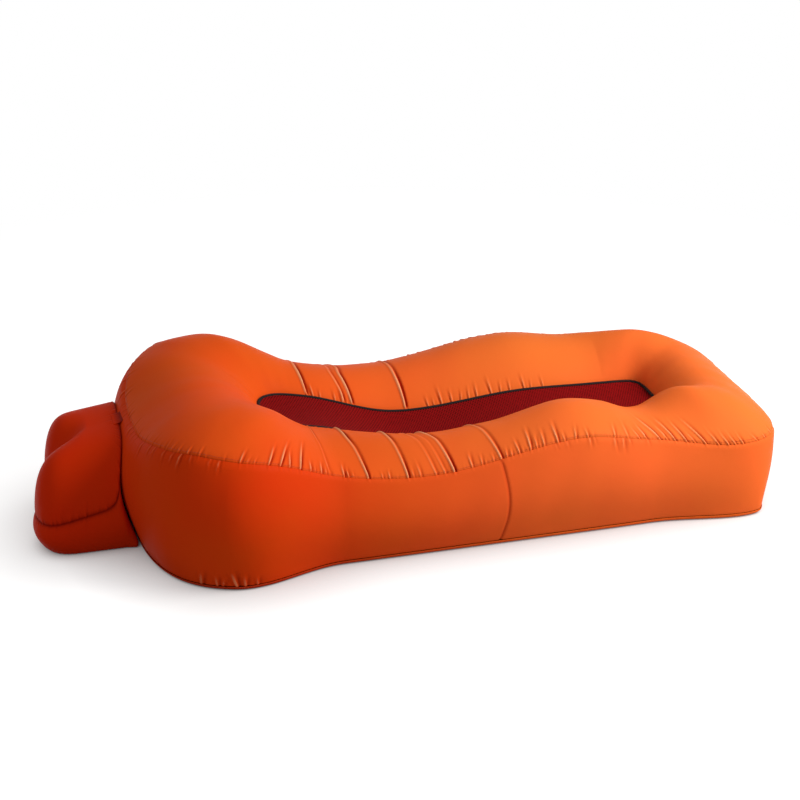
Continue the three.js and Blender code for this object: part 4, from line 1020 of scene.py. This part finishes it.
def follow_tree(name, material, swatch, pitch, facing):
    """A Geometry Nodes tree that lays copies of a small piece along a line of points."""
    tree = bpy.data.node_groups.new(name, "GeometryNodeTree")
    add_sockets(tree, "INPUT", "Geometry", "Geometry")
    for label, value in (("Pitch", pitch), ("Radius", swatch[0]), ("Length", swatch[1])):
        made = tree.interface.new_socket(label, in_out="INPUT", socket_type="NodeSocketFloat")
        made.default_value = value
    add_sockets(tree, "OUTPUT", "Geometry", "Geometry")
    nodes, links = tree.nodes, tree.links
    given, result = nodes.new("NodeGroupInput"), nodes.new("NodeGroupOutput")
    curve, spaced = nodes.new("GeometryNodeMeshToCurve"), nodes.new("GeometryNodeResampleCurve")
    spaced.mode = "LENGTH"
    thread = nodes.new("GeometryNodeMeshCylinder")
    thread.inputs["Vertices"].default_value = 6
    laid, tangent = nodes.new("GeometryNodeInstanceOnPoints"), nodes.new("GeometryNodeInputTangent")
    turned = nodes.new("FunctionNodeAlignRotationToVector")
    turned.axis = "Z"
    real, painted = nodes.new("GeometryNodeRealizeInstances"), nodes.new("GeometryNodeSetMaterial")
    painted.inputs["Material"].default_value = material
    links.new(given.outputs["Geometry"], curve.inputs["Mesh"])
    links.new(curve.outputs["Curve"], spaced.inputs["Curve"])
    links.new(given.outputs["Pitch"], spaced.inputs["Length"])
    links.new(given.outputs["Radius"], thread.inputs["Radius"])
    links.new(given.outputs["Length"], thread.inputs["Depth"])
    links.new(spaced.outputs["Curve"], laid.inputs["Points"])
    links.new(thread.outputs["Mesh"], laid.inputs["Instance"])
    if facing is None:
        links.new(tangent.outputs["Tangent"], turned.inputs["Vector"])
    else:
        turned.inputs["Vector"].default_value = facing
    links.new(turned.outputs["Rotation"], laid.inputs["Rotation"])
    links.new(laid.outputs["Instances"], real.inputs["Geometry"])
    links.new(real.outputs["Geometry"], painted.inputs["Geometry"])
    links.new(painted.outputs["Geometry"], result.inputs["Geometry"])
    return tree


def laid_along(name, line, closed, tree, material):
    """The plain mesh of a tree's copies along a line of points."""
    edges = [(i, i + 1) for i in range(len(line) - 1)]
    if closed:
        edges.append((len(line) - 1, 0))
    mesh = bpy.data.meshes.new(name + " path")
    mesh.from_pydata(line.tolist(), edges, [])
    guide = new_object(name + " path", mesh)
    guide.modifiers.new("laid along", "NODES").node_group = tree
    shown = guide.evaluated_get(bpy.context.evaluated_depsgraph_get())
    made = bpy.data.meshes.new_from_object(shown)
    made.name = name
    bpy.data.objects.remove(guide)
    if not made.materials:
        made.materials.append(material)
    made.shade_smooth()
    return new_object(name, made)


teeth_black = speckled("zip coil", (0.010, 0.010, 0.011), (0.030, 0.030, 0.032), 400, 0.35)[0]
teeth_tree = follow_tree("zip coil", teeth_black, (0.0008, 0.0056), TOOTH_PITCH, (0.12, 0, 1))
chain_line = band_line(np.linspace(CHAIN_START, CHAIN_END, 120), ZIP_HEIGHT, 0.0017)
chain = laid_along("zip_coil", chain_line, False, teeth_tree, teeth_black)
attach(chain, "lounger")
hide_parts("zip_chain")

dark_metal, nodes, links, shader, wear = speckled(
    "dark zip metal", (0.10, 0.10, 0.105), (0.20, 0.20, 0.21), 260, 0.35, 4
)
rough = nodes.new("ShaderNodeMapRange")
rough.inputs["To Min"].default_value, rough.inputs["To Max"].default_value = 0.25, 0.45
links.new(wear.outputs["Fac"], rough.inputs["Value"])
links.new(rough.outputs["Result"], shader.inputs["Roughness"])
shader.inputs["Metallic"].default_value = 1.0

for node in ("zip_slider", "zip_pull"):
    metal_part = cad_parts[node]
    metal_part.data.materials.clear()
    metal_part.data.materials.append(dark_metal)

# ---------------------------------------------------------------------------
# Rear cushion. A smaller pillow behind the head, of the same nylon over its own
# bladder: a boxed lower band, and a domed top drawn down along its middle.
REAR_BACK_X, REAR_HALF_WIDTH, REAR_HALF_DEPTH, REAR_OFFSET_Y = -0.960, 0.190, 0.12, 0.046
REAR_BACK_SQUARENESS, REAR_FRONT_SQUARENESS = 3.6, 16
REAR_STEP, REAR_STEP_WIDTH, REAR_PINCH = 0.046, 0.100, 0.026
REAR_CROWNS, REAR_SEAMS, REAR_TILT, REAR_FACE_TOP = (0.276, 0.252), (0.128, 0.080), 0.014, 0.280
REAR_FACE_HIGHEST = 0.295
REAR_VALLEY_Y, REAR_VALLEY_SHARE, REAR_FREE_SHARE = 0.038, 1.15, 0.8
REAR_GAP, REAR_VALLEY, REAR_VALLEY_WIDTH = 0.004, 0.085, 0.045
REAR_SIDE_BULGE, REAR_BASE_INSET, REAR_FLOOR = 0.010, 0.012, 0.0034
REAR_FILM_DEPTH, REAR_FILM_LOWEST, REAR_BASE_HEIGHT = 0.008, 0.006, 0.0016
REAR_AROUND, REAR_ROWS, REAR_SIDE_ROWS, REAR_BASE_SHARES = 1600, 56, 22, (0.35, 0.7, 0.97)
REAR_VALVE = (-0.820, 0.2430, 0.046)

# The head band's face behind the rear cushion, as x over y and height
face_runs = np.linspace(0.86 * HEAD_RUN, 1.14 * HEAD_RUN, 700)[:, None]
face_shares = np.linspace(0, 1, 120)[None, :]
face = down_side(face_runs, face_shares)
face_heights = np.linspace(HEM_HEIGHT, REAR_FACE_HIGHEST, 60)
face_ys = np.linspace(-0.30, 0.40, 141)
face_table = []
for height in face_heights:
    xs, ys = [], []
    for line in face:
        share = np.interp(-height, -line[:, 2], face_shares[0])
        xs.append(np.interp(share, face_shares[0], line[:, 0]))
        ys.append(np.interp(share, face_shares[0], line[:, 1]))
    order = np.argsort(ys)
    face_table.append(np.interp(face_ys, np.array(ys)[order], np.array(xs)[order]))
face_table = np.array(face_table)


def head_face(y, height):
    """The x of the rear cushion's front, a gap behind the head band."""
    height_step, y_step = face_heights[1] - face_heights[0], face_ys[1] - face_ys[0]
    i = np.clip((height - face_heights[0]) / height_step, 0, len(face_heights) - 1.001)
    j = np.clip((y - face_ys[0]) / y_step, 0, len(face_ys) - 1.001)
    i0, j0 = i.astype(int), j.astype(int)
    di, dj = i - i0, j - j0
    top = face_table[i0, j0] * (1 - dj) + face_table[i0, j0 + 1] * dj
    bottom = face_table[i0 + 1, j0] * (1 - dj) + face_table[i0 + 1, j0 + 1] * dj
    return top * (1 - di) + bottom * di - REAR_GAP


def wedge(ends, forward):
    return ends[1] + (ends[0] - ends[1]) * (forward + 1) / 2


def rear_parting(across):
    """How near a place is to the line where the two lobes meet."""
    off = np.abs(REAR_OFFSET_Y + REAR_HALF_WIDTH * across - REAR_VALLEY_Y)
    return np.exp(-((off / REAR_VALLEY_WIDTH) ** 1.4))


def rear_dome(forward, across):
    """The share of its rise that the top keeps: all towards the head, none at its back and sides."""
    squareness = REAR_BACK_SQUARENESS
    off = (np.maximum(-forward, 0) ** squareness + np.abs(across) ** squareness) ** (1 / squareness)
    return (1 - off**4).clip(0) ** 0.5


def rear_height(forward, across):
    """The height of the cushion's top, which dips along the line where the lobes meet."""
    valley = REAR_VALLEY * (1 - smooth((forward + 1) / REAR_VALLEY_SHARE)) * rear_parting(across)
    seam = wedge(REAR_SEAMS, forward)
    crown = wedge(REAR_CROWNS, forward) + REAR_TILT * across - valley
    return seam + (crown - seam) * rear_dome(forward, across)


def rear_plan(forward, across, share, depth):
    """A point of the plan, whose front follows the head at a share of the way down from the cushion's top."""
    y = REAR_OFFSET_Y + REAR_HALF_WIDTH * across
    top = np.minimum(rear_height(np.ones_like(across), across), REAR_FACE_TOP)
    front = head_face(y, top + (REAR_FLOOR - top) * share)
    step = REAR_STEP * smooth((y - REAR_VALLEY_Y) / REAR_STEP_WIDTH + 0.5)
    back = REAR_BACK_X + step + REAR_PINCH * rear_parting(across)
    x = back + (forward + 1) / 2 * (front - back)
    return x - forward * depth, y - across * depth


def rear_top_point(forward, across, share, depth):
    x, y = rear_plan(forward * share, across * share, 0.0, depth)
    height = rear_height(forward * share, across * share) - depth * rear_dome(forward * share, across * share)
    return np.stack([x, y, height], -1)


def rear_side_point(forward, across, share, depth):
    rim = rear_height(forward, across)
    free = 1 - smooth((forward - REAR_FREE_SHARE) / (1 - REAR_FREE_SHARE))
    out = REAR_SIDE_BULGE * np.sin(np.pi * share) - REAR_BASE_INSET * share**2
    x, y = rear_plan(forward, across, share, depth - out * free)
    top = rim - depth * rear_dome(forward, across)
    return np.stack(np.broadcast_arrays(x, y, top + (REAR_FLOOR - top) * share), -1)


dense = np.linspace(0, 2 * np.pi, 20001)
power = np.where(np.cos(dense) > 0, REAR_FRONT_SQUARENESS, REAR_BACK_SQUARENESS)
reach = (np.abs(np.cos(dense)) ** power + np.abs(np.sin(dense)) ** power) ** (1 / power)
dense_forward, dense_across = np.cos(dense) / reach, np.sin(dense) / reach
edge_steps = np.hypot(REAR_HALF_DEPTH * np.diff(dense_forward), REAR_HALF_WIDTH * np.diff(dense_across))
rear_runs = np.append(0, np.cumsum(edge_steps))
REAR_RUN = rear_runs[-1]
rear_at = np.arange(REAR_AROUND) * REAR_RUN / REAR_AROUND
edge_forward = np.interp(rear_at, rear_runs, dense_forward)[:, None]
edge_across = np.interp(rear_at, rear_runs, dense_across)[:, None]
rear_run = rear_at[:, None]


def rear_gathers(reach, seed, share=1.0):
    """The height of seeded gathers round the cushion, which fade with the distance from their seam."""
    dice = np.random.default_rng(seed)
    total = np.zeros((REAR_AROUND, reach.shape[1]))
    at = 0.0
    while at < REAR_RUN:
        length, height = dice.uniform(0.02, 0.06) * share, dice.uniform(0.3, 1.3) * 1e-3 * share
        width, lean = dice.uniform(3.0, 4.6) * 1e-3, dice.uniform(-0.25, 0.25)
        spread = width * (0.8 + 0.7 * np.clip(reach / length, 0, 1))
        off = (np.mod(rear_run - at - lean * reach + REAR_RUN / 2, REAR_RUN) - REAR_RUN / 2) / spread
        fade = np.clip(1 - reach / length, 0, 1) ** 1.3
        total += height * fade * (np.exp(-(off**2)) - 0.75 * np.exp(-((off - 1.7) ** 2)))
        at += dice.uniform(0.012, 0.036)
    return total


# A shaded copy of the cover's nylon: its darker, redder dye is painted shade.
shaded_rear_nylon = nylon("shaded orange rear nylon", (0.72, 0.034, 0.003), (0.72, 0.034, 0.003), (0.30, 0.010, 0.002))
shares = np.sin(np.pi / 2 * np.linspace(0, 1, REAR_ROWS))[None, 1:]
dome_points = rear_top_point(edge_forward, edge_across, shares, 0.0)
reach = lengths_along(dome_points)
reach = reach[:, -1:] - reach
lift = rear_gathers(reach, 21) - 0.0026 * np.exp(-reach / 0.005)
dome_points = dome_points + outward(dome_points, True) * lift[..., None]
# Painted shade in the gathers' valleys and along the seam.
fold = (np.clip(-lift / FOLD_DEPTH, 0, 1) + 0.5 * np.exp(-reach / 0.0035)).clip(0, 1)
middle = rear_top_point(np.zeros(1), np.zeros(1), np.zeros(1), 0.0)[0]
points = np.concatenate([dome_points.reshape(-1, 3), [middle]])
rows = REAR_ROWS - 1
faces = grid_faces(REAR_AROUND, rows, True).tolist() + fan(REAR_AROUND * rows, REAR_AROUND, rows)
flat = np.concatenate([dome_points[..., :2].reshape(-1, 2), middle[None, :2]])
rear_top = new_piece("rear_cushion_top", points, faces, shaded_rear_nylon, flat, fold=np.append(fold.ravel(), 0))
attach(rear_top, "rear_cushion")
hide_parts("rear_top_panel")

side_shares = np.linspace(0, 1, REAR_SIDE_ROWS)[None, :]
side_points = rear_side_point(edge_forward, edge_across, side_shares, 0.0)
down = lengths_along(side_points)
lift = rear_gathers(down, 22, 0.6) - 0.002 * np.exp(-down / 0.004)
lift += rear_gathers(down[:, -1:] - down, 23, 0.5) - 0.001 * np.exp(-(down[:, -1:] - down) / 0.004)
side_points = side_points + outward(side_points, True) * lift[..., None]
side_points[:, 0] = dome_points[:, -1]
# Painted shade in the gathers' valleys and along the top seam.
fold = (np.clip(-lift / FOLD_DEPTH, 0, 1) + 0.4 * np.exp(-down / 0.0035)).clip(0, 1)
flat = np.stack(np.broadcast_arrays(rear_run, down), -1)
rear_side = new_piece(
    "rear_cushion_side", side_points, grid_faces(REAR_AROUND, REAR_SIDE_ROWS, True), shaded_rear_nylon, flat,
    fold=fold.ravel(),
)
opened(rear_side, REAR_VALVE)
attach(rear_side, "rear_cushion")
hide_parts("rear_side_band")

floor_edge = side_points[:, -1]
centre = np.array([floor_edge[:, 0].mean(), REAR_OFFSET_Y, 0.002])
rings = [centre + (floor_edge - centre) * share for share in REAR_BASE_SHARES]
rows = len(rings) + 1
ring_points = np.stack([*rings, floor_edge], 1)
ring_points[:, :-1, 2] = REAR_BASE_HEIGHT
points = np.concatenate([ring_points.reshape(-1, 3), [(centre[0], centre[1], REAR_BASE_HEIGHT)]])
faces = grid_faces(REAR_AROUND, rows, True)[:, ::-1].tolist()
faces += fan(REAR_AROUND * rows, REAR_AROUND, rows, turned=True)
rear_base = new_piece("rear_cushion_base", points, faces, shaded_rear_nylon, points[:, :2], fold=0.0)
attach(rear_base, "rear_cushion")
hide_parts("rear_base_panel")

step = slice(0, None, 8)
inner_top = rear_top_point(edge_forward[step], edge_across[step], shares[:, ::4], REAR_FILM_DEPTH)
inner_side = rear_side_point(edge_forward[step], edge_across[step], side_shares[:, 1::3], REAR_FILM_DEPTH)
inner_side[..., 2] = inner_side[..., 2].clip(REAR_FILM_LOWEST)
inner = np.concatenate([inner_top, inner_side], 1)
count, rows = inner.shape[:2]
top_middle = rear_top_point(np.zeros(1), np.zeros(1), np.zeros(1), REAR_FILM_DEPTH)[0]
base_middle = (centre[0], centre[1], REAR_FILM_LOWEST)
points = [*inner.reshape(-1, 3), top_middle - (0, 0, REAR_FILM_LOWEST), base_middle]
faces = grid_faces(count, rows, True).tolist()
faces += fan(count * rows, count, rows, turned=True) + fan(count * rows + 1, count, rows, rows - 1)
rear_film = turned_out(new_piece("film_chamber_rear", points, faces, film))
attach(rear_film, "rear_cushion")
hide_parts("rear_chamber")
valve_pieces("rear", REAR_VALVE, ("rear_cushion", "rear_valve_cap"))

# ---------------------------------------------------------------------------
# Hinge strip. A short doubled band of the cover cloth, sewn to the head band and
# to the rear cushion's valley, on which the cushion folds up.
STRIP_HEIGHT, STRIP_HALF_WIDTH, STRIP_REACH, STRIP_OFF, STRIP_LIFT = 0.283, 0.027, 0.020, 0.0008, 0.0006
STRIP_COLUMNS, STRIP_ROWS = 20, 26
across = np.linspace(-1, 1, STRIP_COLUMNS)[:, None]
share = np.linspace(0, 1, STRIP_ROWS)[None, :]
y = REAR_OFFSET_Y + STRIP_HALF_WIDTH * across
start = head_face(y, np.full_like(y, STRIP_HEIGHT)) + REAR_GAP - STRIP_OFF
end_x = head_face(np.array([REAR_OFFSET_Y]), np.array([STRIP_HEIGHT]))[0] - STRIP_REACH
head_x = head_face(np.array([REAR_OFFSET_Y]), np.array([REAR_FACE_TOP]))[0]
strip_forward = 1 - 2 * STRIP_REACH / (head_x - REAR_BACK_X - REAR_STEP / 2)
end = rear_height(strip_forward, (y - REAR_OFFSET_Y) / REAR_HALF_WIDTH) + STRIP_LIFT
height = STRIP_HEIGHT + (end - STRIP_HEIGHT) * share**0.45 + 0.0004
strip_points = np.stack(np.broadcast_arrays(start + (end_x - start) * share, y, height), -1)
flat = np.stack(np.broadcast_arrays(y, share * STRIP_REACH), -1)
# Painted shade, darkest where the strip meets the head band.
strip_fold = np.broadcast_to(np.clip(1.2 - 1.4 * share, 0, 1), height.shape).ravel()
faces = grid_faces(STRIP_COLUMNS, STRIP_ROWS, False)
strip = new_piece("hinge_band", strip_points, faces, shaded_rear_nylon, flat, fold=strip_fold)
if strip.data.polygons[100].normal.z < 0:
    strip.data.flip_normals()
thick = strip.modifiers.new("cloth thickness", "SOLIDIFY")
thick.thickness, thick.offset = 0.0009, 0
strip.data.transform(INTO_FRAME)
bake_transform(strip)
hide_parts("hinge_strip")

# ---------------------------------------------------------------------------
# Stitching. Orange polyester thread topstitches the outer seam and the hem, and
# fixes the binding tape. Each stitch is a short bar laid along its seam's line.
STITCH_PITCH, STITCH_LENGTH, STITCH_RADIUS, STITCH_OFF = 0.0042, 0.0030, 0.00035, 0.0002
SEAM_STITCH_REACH, SLOT_STITCH_REACH = 0.005, 0.004

orange_thread = speckled("orange thread", (0.42, 0.035, 0.006), (0.62, 0.070, 0.012), 700, 0.5)[0]
stitch = (STITCH_RADIUS, STITCH_LENGTH)
orange_stitch = follow_tree("orange stitch", orange_thread, stitch, STITCH_PITCH, None)

seam_row = int(np.argmin(np.abs(from_seam.mean(0) - SEAM_STITCH_REACH)))
seam_line = top_surface[::2, seam_row] + STITCH_OFF * top_normals[::2, seam_row]
slot_row = int(np.argmin(np.abs(from_slot.mean(0) - SLOT_STITCH_REACH)))
slot_line = top_surface[::2, slot_row] + STITCH_OFF * top_normals[::2, slot_row]
cut = cut_at(base_runs[:, 0])
hem_line = placed(cut, cut["hem"] + 0.0013, HEM_HEIGHT - 0.003)
for name, line, rank in (
    ("top_seam_stitches", seam_line, "cover_fabric"),
    ("hem_stitches", hem_line, "cover_fabric"),
    ("binding_stitches", slot_line, "binding_tape"),
):
    stitches = laid_along(name, line, True, orange_stitch, orange_thread)
    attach(stitches, "lounger")

# ---------------------------------------------------------------------------
# Floor, light and camera. A plain white studio floor, a large soft lamp high on
# the right and the room's even light, seen from the photograph's place.
LEVEL, FILL_LEVEL, CONTACT_REACH = 0.37, 0.85, 0.20
FLOOR_SIZE, FADE_START, FADE_END = 40.0, 1.15, 2.6


def seen_directly(nodes, links):
    """1 for camera, glossy and transmission rays, which see the white background, and 0 for the rest."""
    path, reckon = nodes.new("ShaderNodeLightPath"), reckoner(nodes, links)
    seen = reckon("MAXIMUM", path.outputs["Is Camera Ray"], path.outputs["Is Glossy Ray"])
    return reckon("MAXIMUM", seen, path.outputs["Is Transmission Ray"])


def mixed(nodes, links, share, first, second):
    """A mix of two shaders, of which the first may be left out."""
    node = nodes.new("ShaderNodeMixShader")
    links.new(share, node.inputs[0])
    if first:
        links.new(first, node.inputs[1])
    links.new(second, node.inputs[2])
    return node.outputs[0]


floor_white, nodes, links, shader = new_material("studio floor")
nodes.remove(shader)
reckon, seen = reckoner(nodes, links), seen_directly(nodes, links)
place, radius = nodes.new("ShaderNodeTexCoord"), nodes.new("ShaderNodeVectorMath")
radius.operation = "LENGTH"
links.new(place.outputs["Object"], radius.inputs[0])
beyond = nodes.new("ShaderNodeMapRange")
beyond.inputs["From Min"].default_value, beyond.inputs["From Max"].default_value = FADE_START, FADE_END
links.new(radius.outputs["Value"], beyond.inputs["Value"])
matt, lit = nodes.new("ShaderNodeBsdfDiffuse"), nodes.new("ShaderNodeAddShader")
matt.inputs["Color"].default_value = (0.46, 0.46, 0.46, 1)
white, fill_white = nodes.new("ShaderNodeEmission"), nodes.new("ShaderNodeEmission")
white.inputs["Strength"].default_value = 1.0
# The floor's glow for camera rays dims by its ambient occlusion near the object: a painted contact shadow.
contact_shadow_ao = nodes.new("ShaderNodeAmbientOcclusion")
contact_shadow_ao.inputs["Distance"].default_value = CONTACT_REACH
contact_shadow_ao.samples = 16
links.new(reckon("MULTIPLY", contact_shadow_ao.outputs["AO"], FILL_LEVEL), fill_white.inputs["Strength"])
links.new(matt.outputs[0], lit.inputs[0])
links.new(mixed(nodes, links, seen, None, fill_white.outputs[0]), lit.inputs[1])
far = reckon("MULTIPLY", beyond.outputs["Result"], seen)
floor_look = mixed(nodes, links, far, lit.outputs[0], white.outputs[0])
links.new(floor_look, nodes["Material Output"].inputs["Surface"])
half = FLOOR_SIZE / 2
corners = [(-half, -half, 0), (half, -half, 0), (half, half, 0), (-half, half, 0)]
floor = new_piece("studio_floor", corners, [(0, 1, 2, 3)], floor_white)

world = bpy.data.worlds.new("studio")
bpy.context.scene.world = world
world.use_nodes = True
nodes, links = world.node_tree.nodes, world.node_tree.links
room = nodes["Background"]
room.inputs["Color"].default_value = (1.0, 0.985, 0.97, 1)
room.inputs["Strength"].default_value = LEVEL
backdrop = nodes.new("ShaderNodeBackground")
backdrop.inputs["Color"].default_value = (1, 1, 1, 1)
backdrop.inputs["Strength"].default_value = 1.0
studio = mixed(nodes, links, seen_directly(nodes, links), room.outputs[0], backdrop.outputs[0])
links.new(studio, nodes["World Output"].inputs["Surface"])


def soft_lamp(name, at, toward, size, power, colour):
    lamp = bpy.data.lights.new(name, "AREA")
    lamp.shape, lamp.size, lamp.energy, lamp.color = "DISK", size, power, colour
    holder = new_object(name, lamp)
    holder.location = at
    holder.rotation_euler = (Vector(toward) - Vector(at)).to_track_quat("-Z", "Y").to_euler()


soft_lamp("key lamp", (2.25, -1.25, 2.0), (0.35, 0.0, 0.1), 1.8, 84, (1.0, 0.98, 0.95))

ELEVATION, HEADING, DISTANCE = math.radians(25.0), math.radians(15.6), 5.13
TARGET = Vector((0.0403, 0.1048, 0.135))
view_line = Vector((
    math.sin(HEADING) * math.cos(ELEVATION), math.cos(HEADING) * math.cos(ELEVATION), -math.sin(ELEVATION)
))
lens = bpy.data.cameras.new("camera")
lens.lens, lens.sensor_width, lens.shift_y = 86.85, 36, 0.0375
camera = new_object("camera", lens)
camera.location = TARGET - view_line * DISTANCE
camera.rotation_euler = view_line.to_track_quat("-Z", "Y").to_euler()
bpy.context.scene.camera = camera
bpy.context.scene.view_settings.view_transform = "Standard"

# The strip has moved already, and the floor stays where it is.
own_pieces = [o for o in bpy.data.objects if o.type == "MESH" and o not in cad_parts.values()]
for piece in own_pieces:
    if piece not in (strip, floor):
        piece.data.transform(INTO_FRAME)
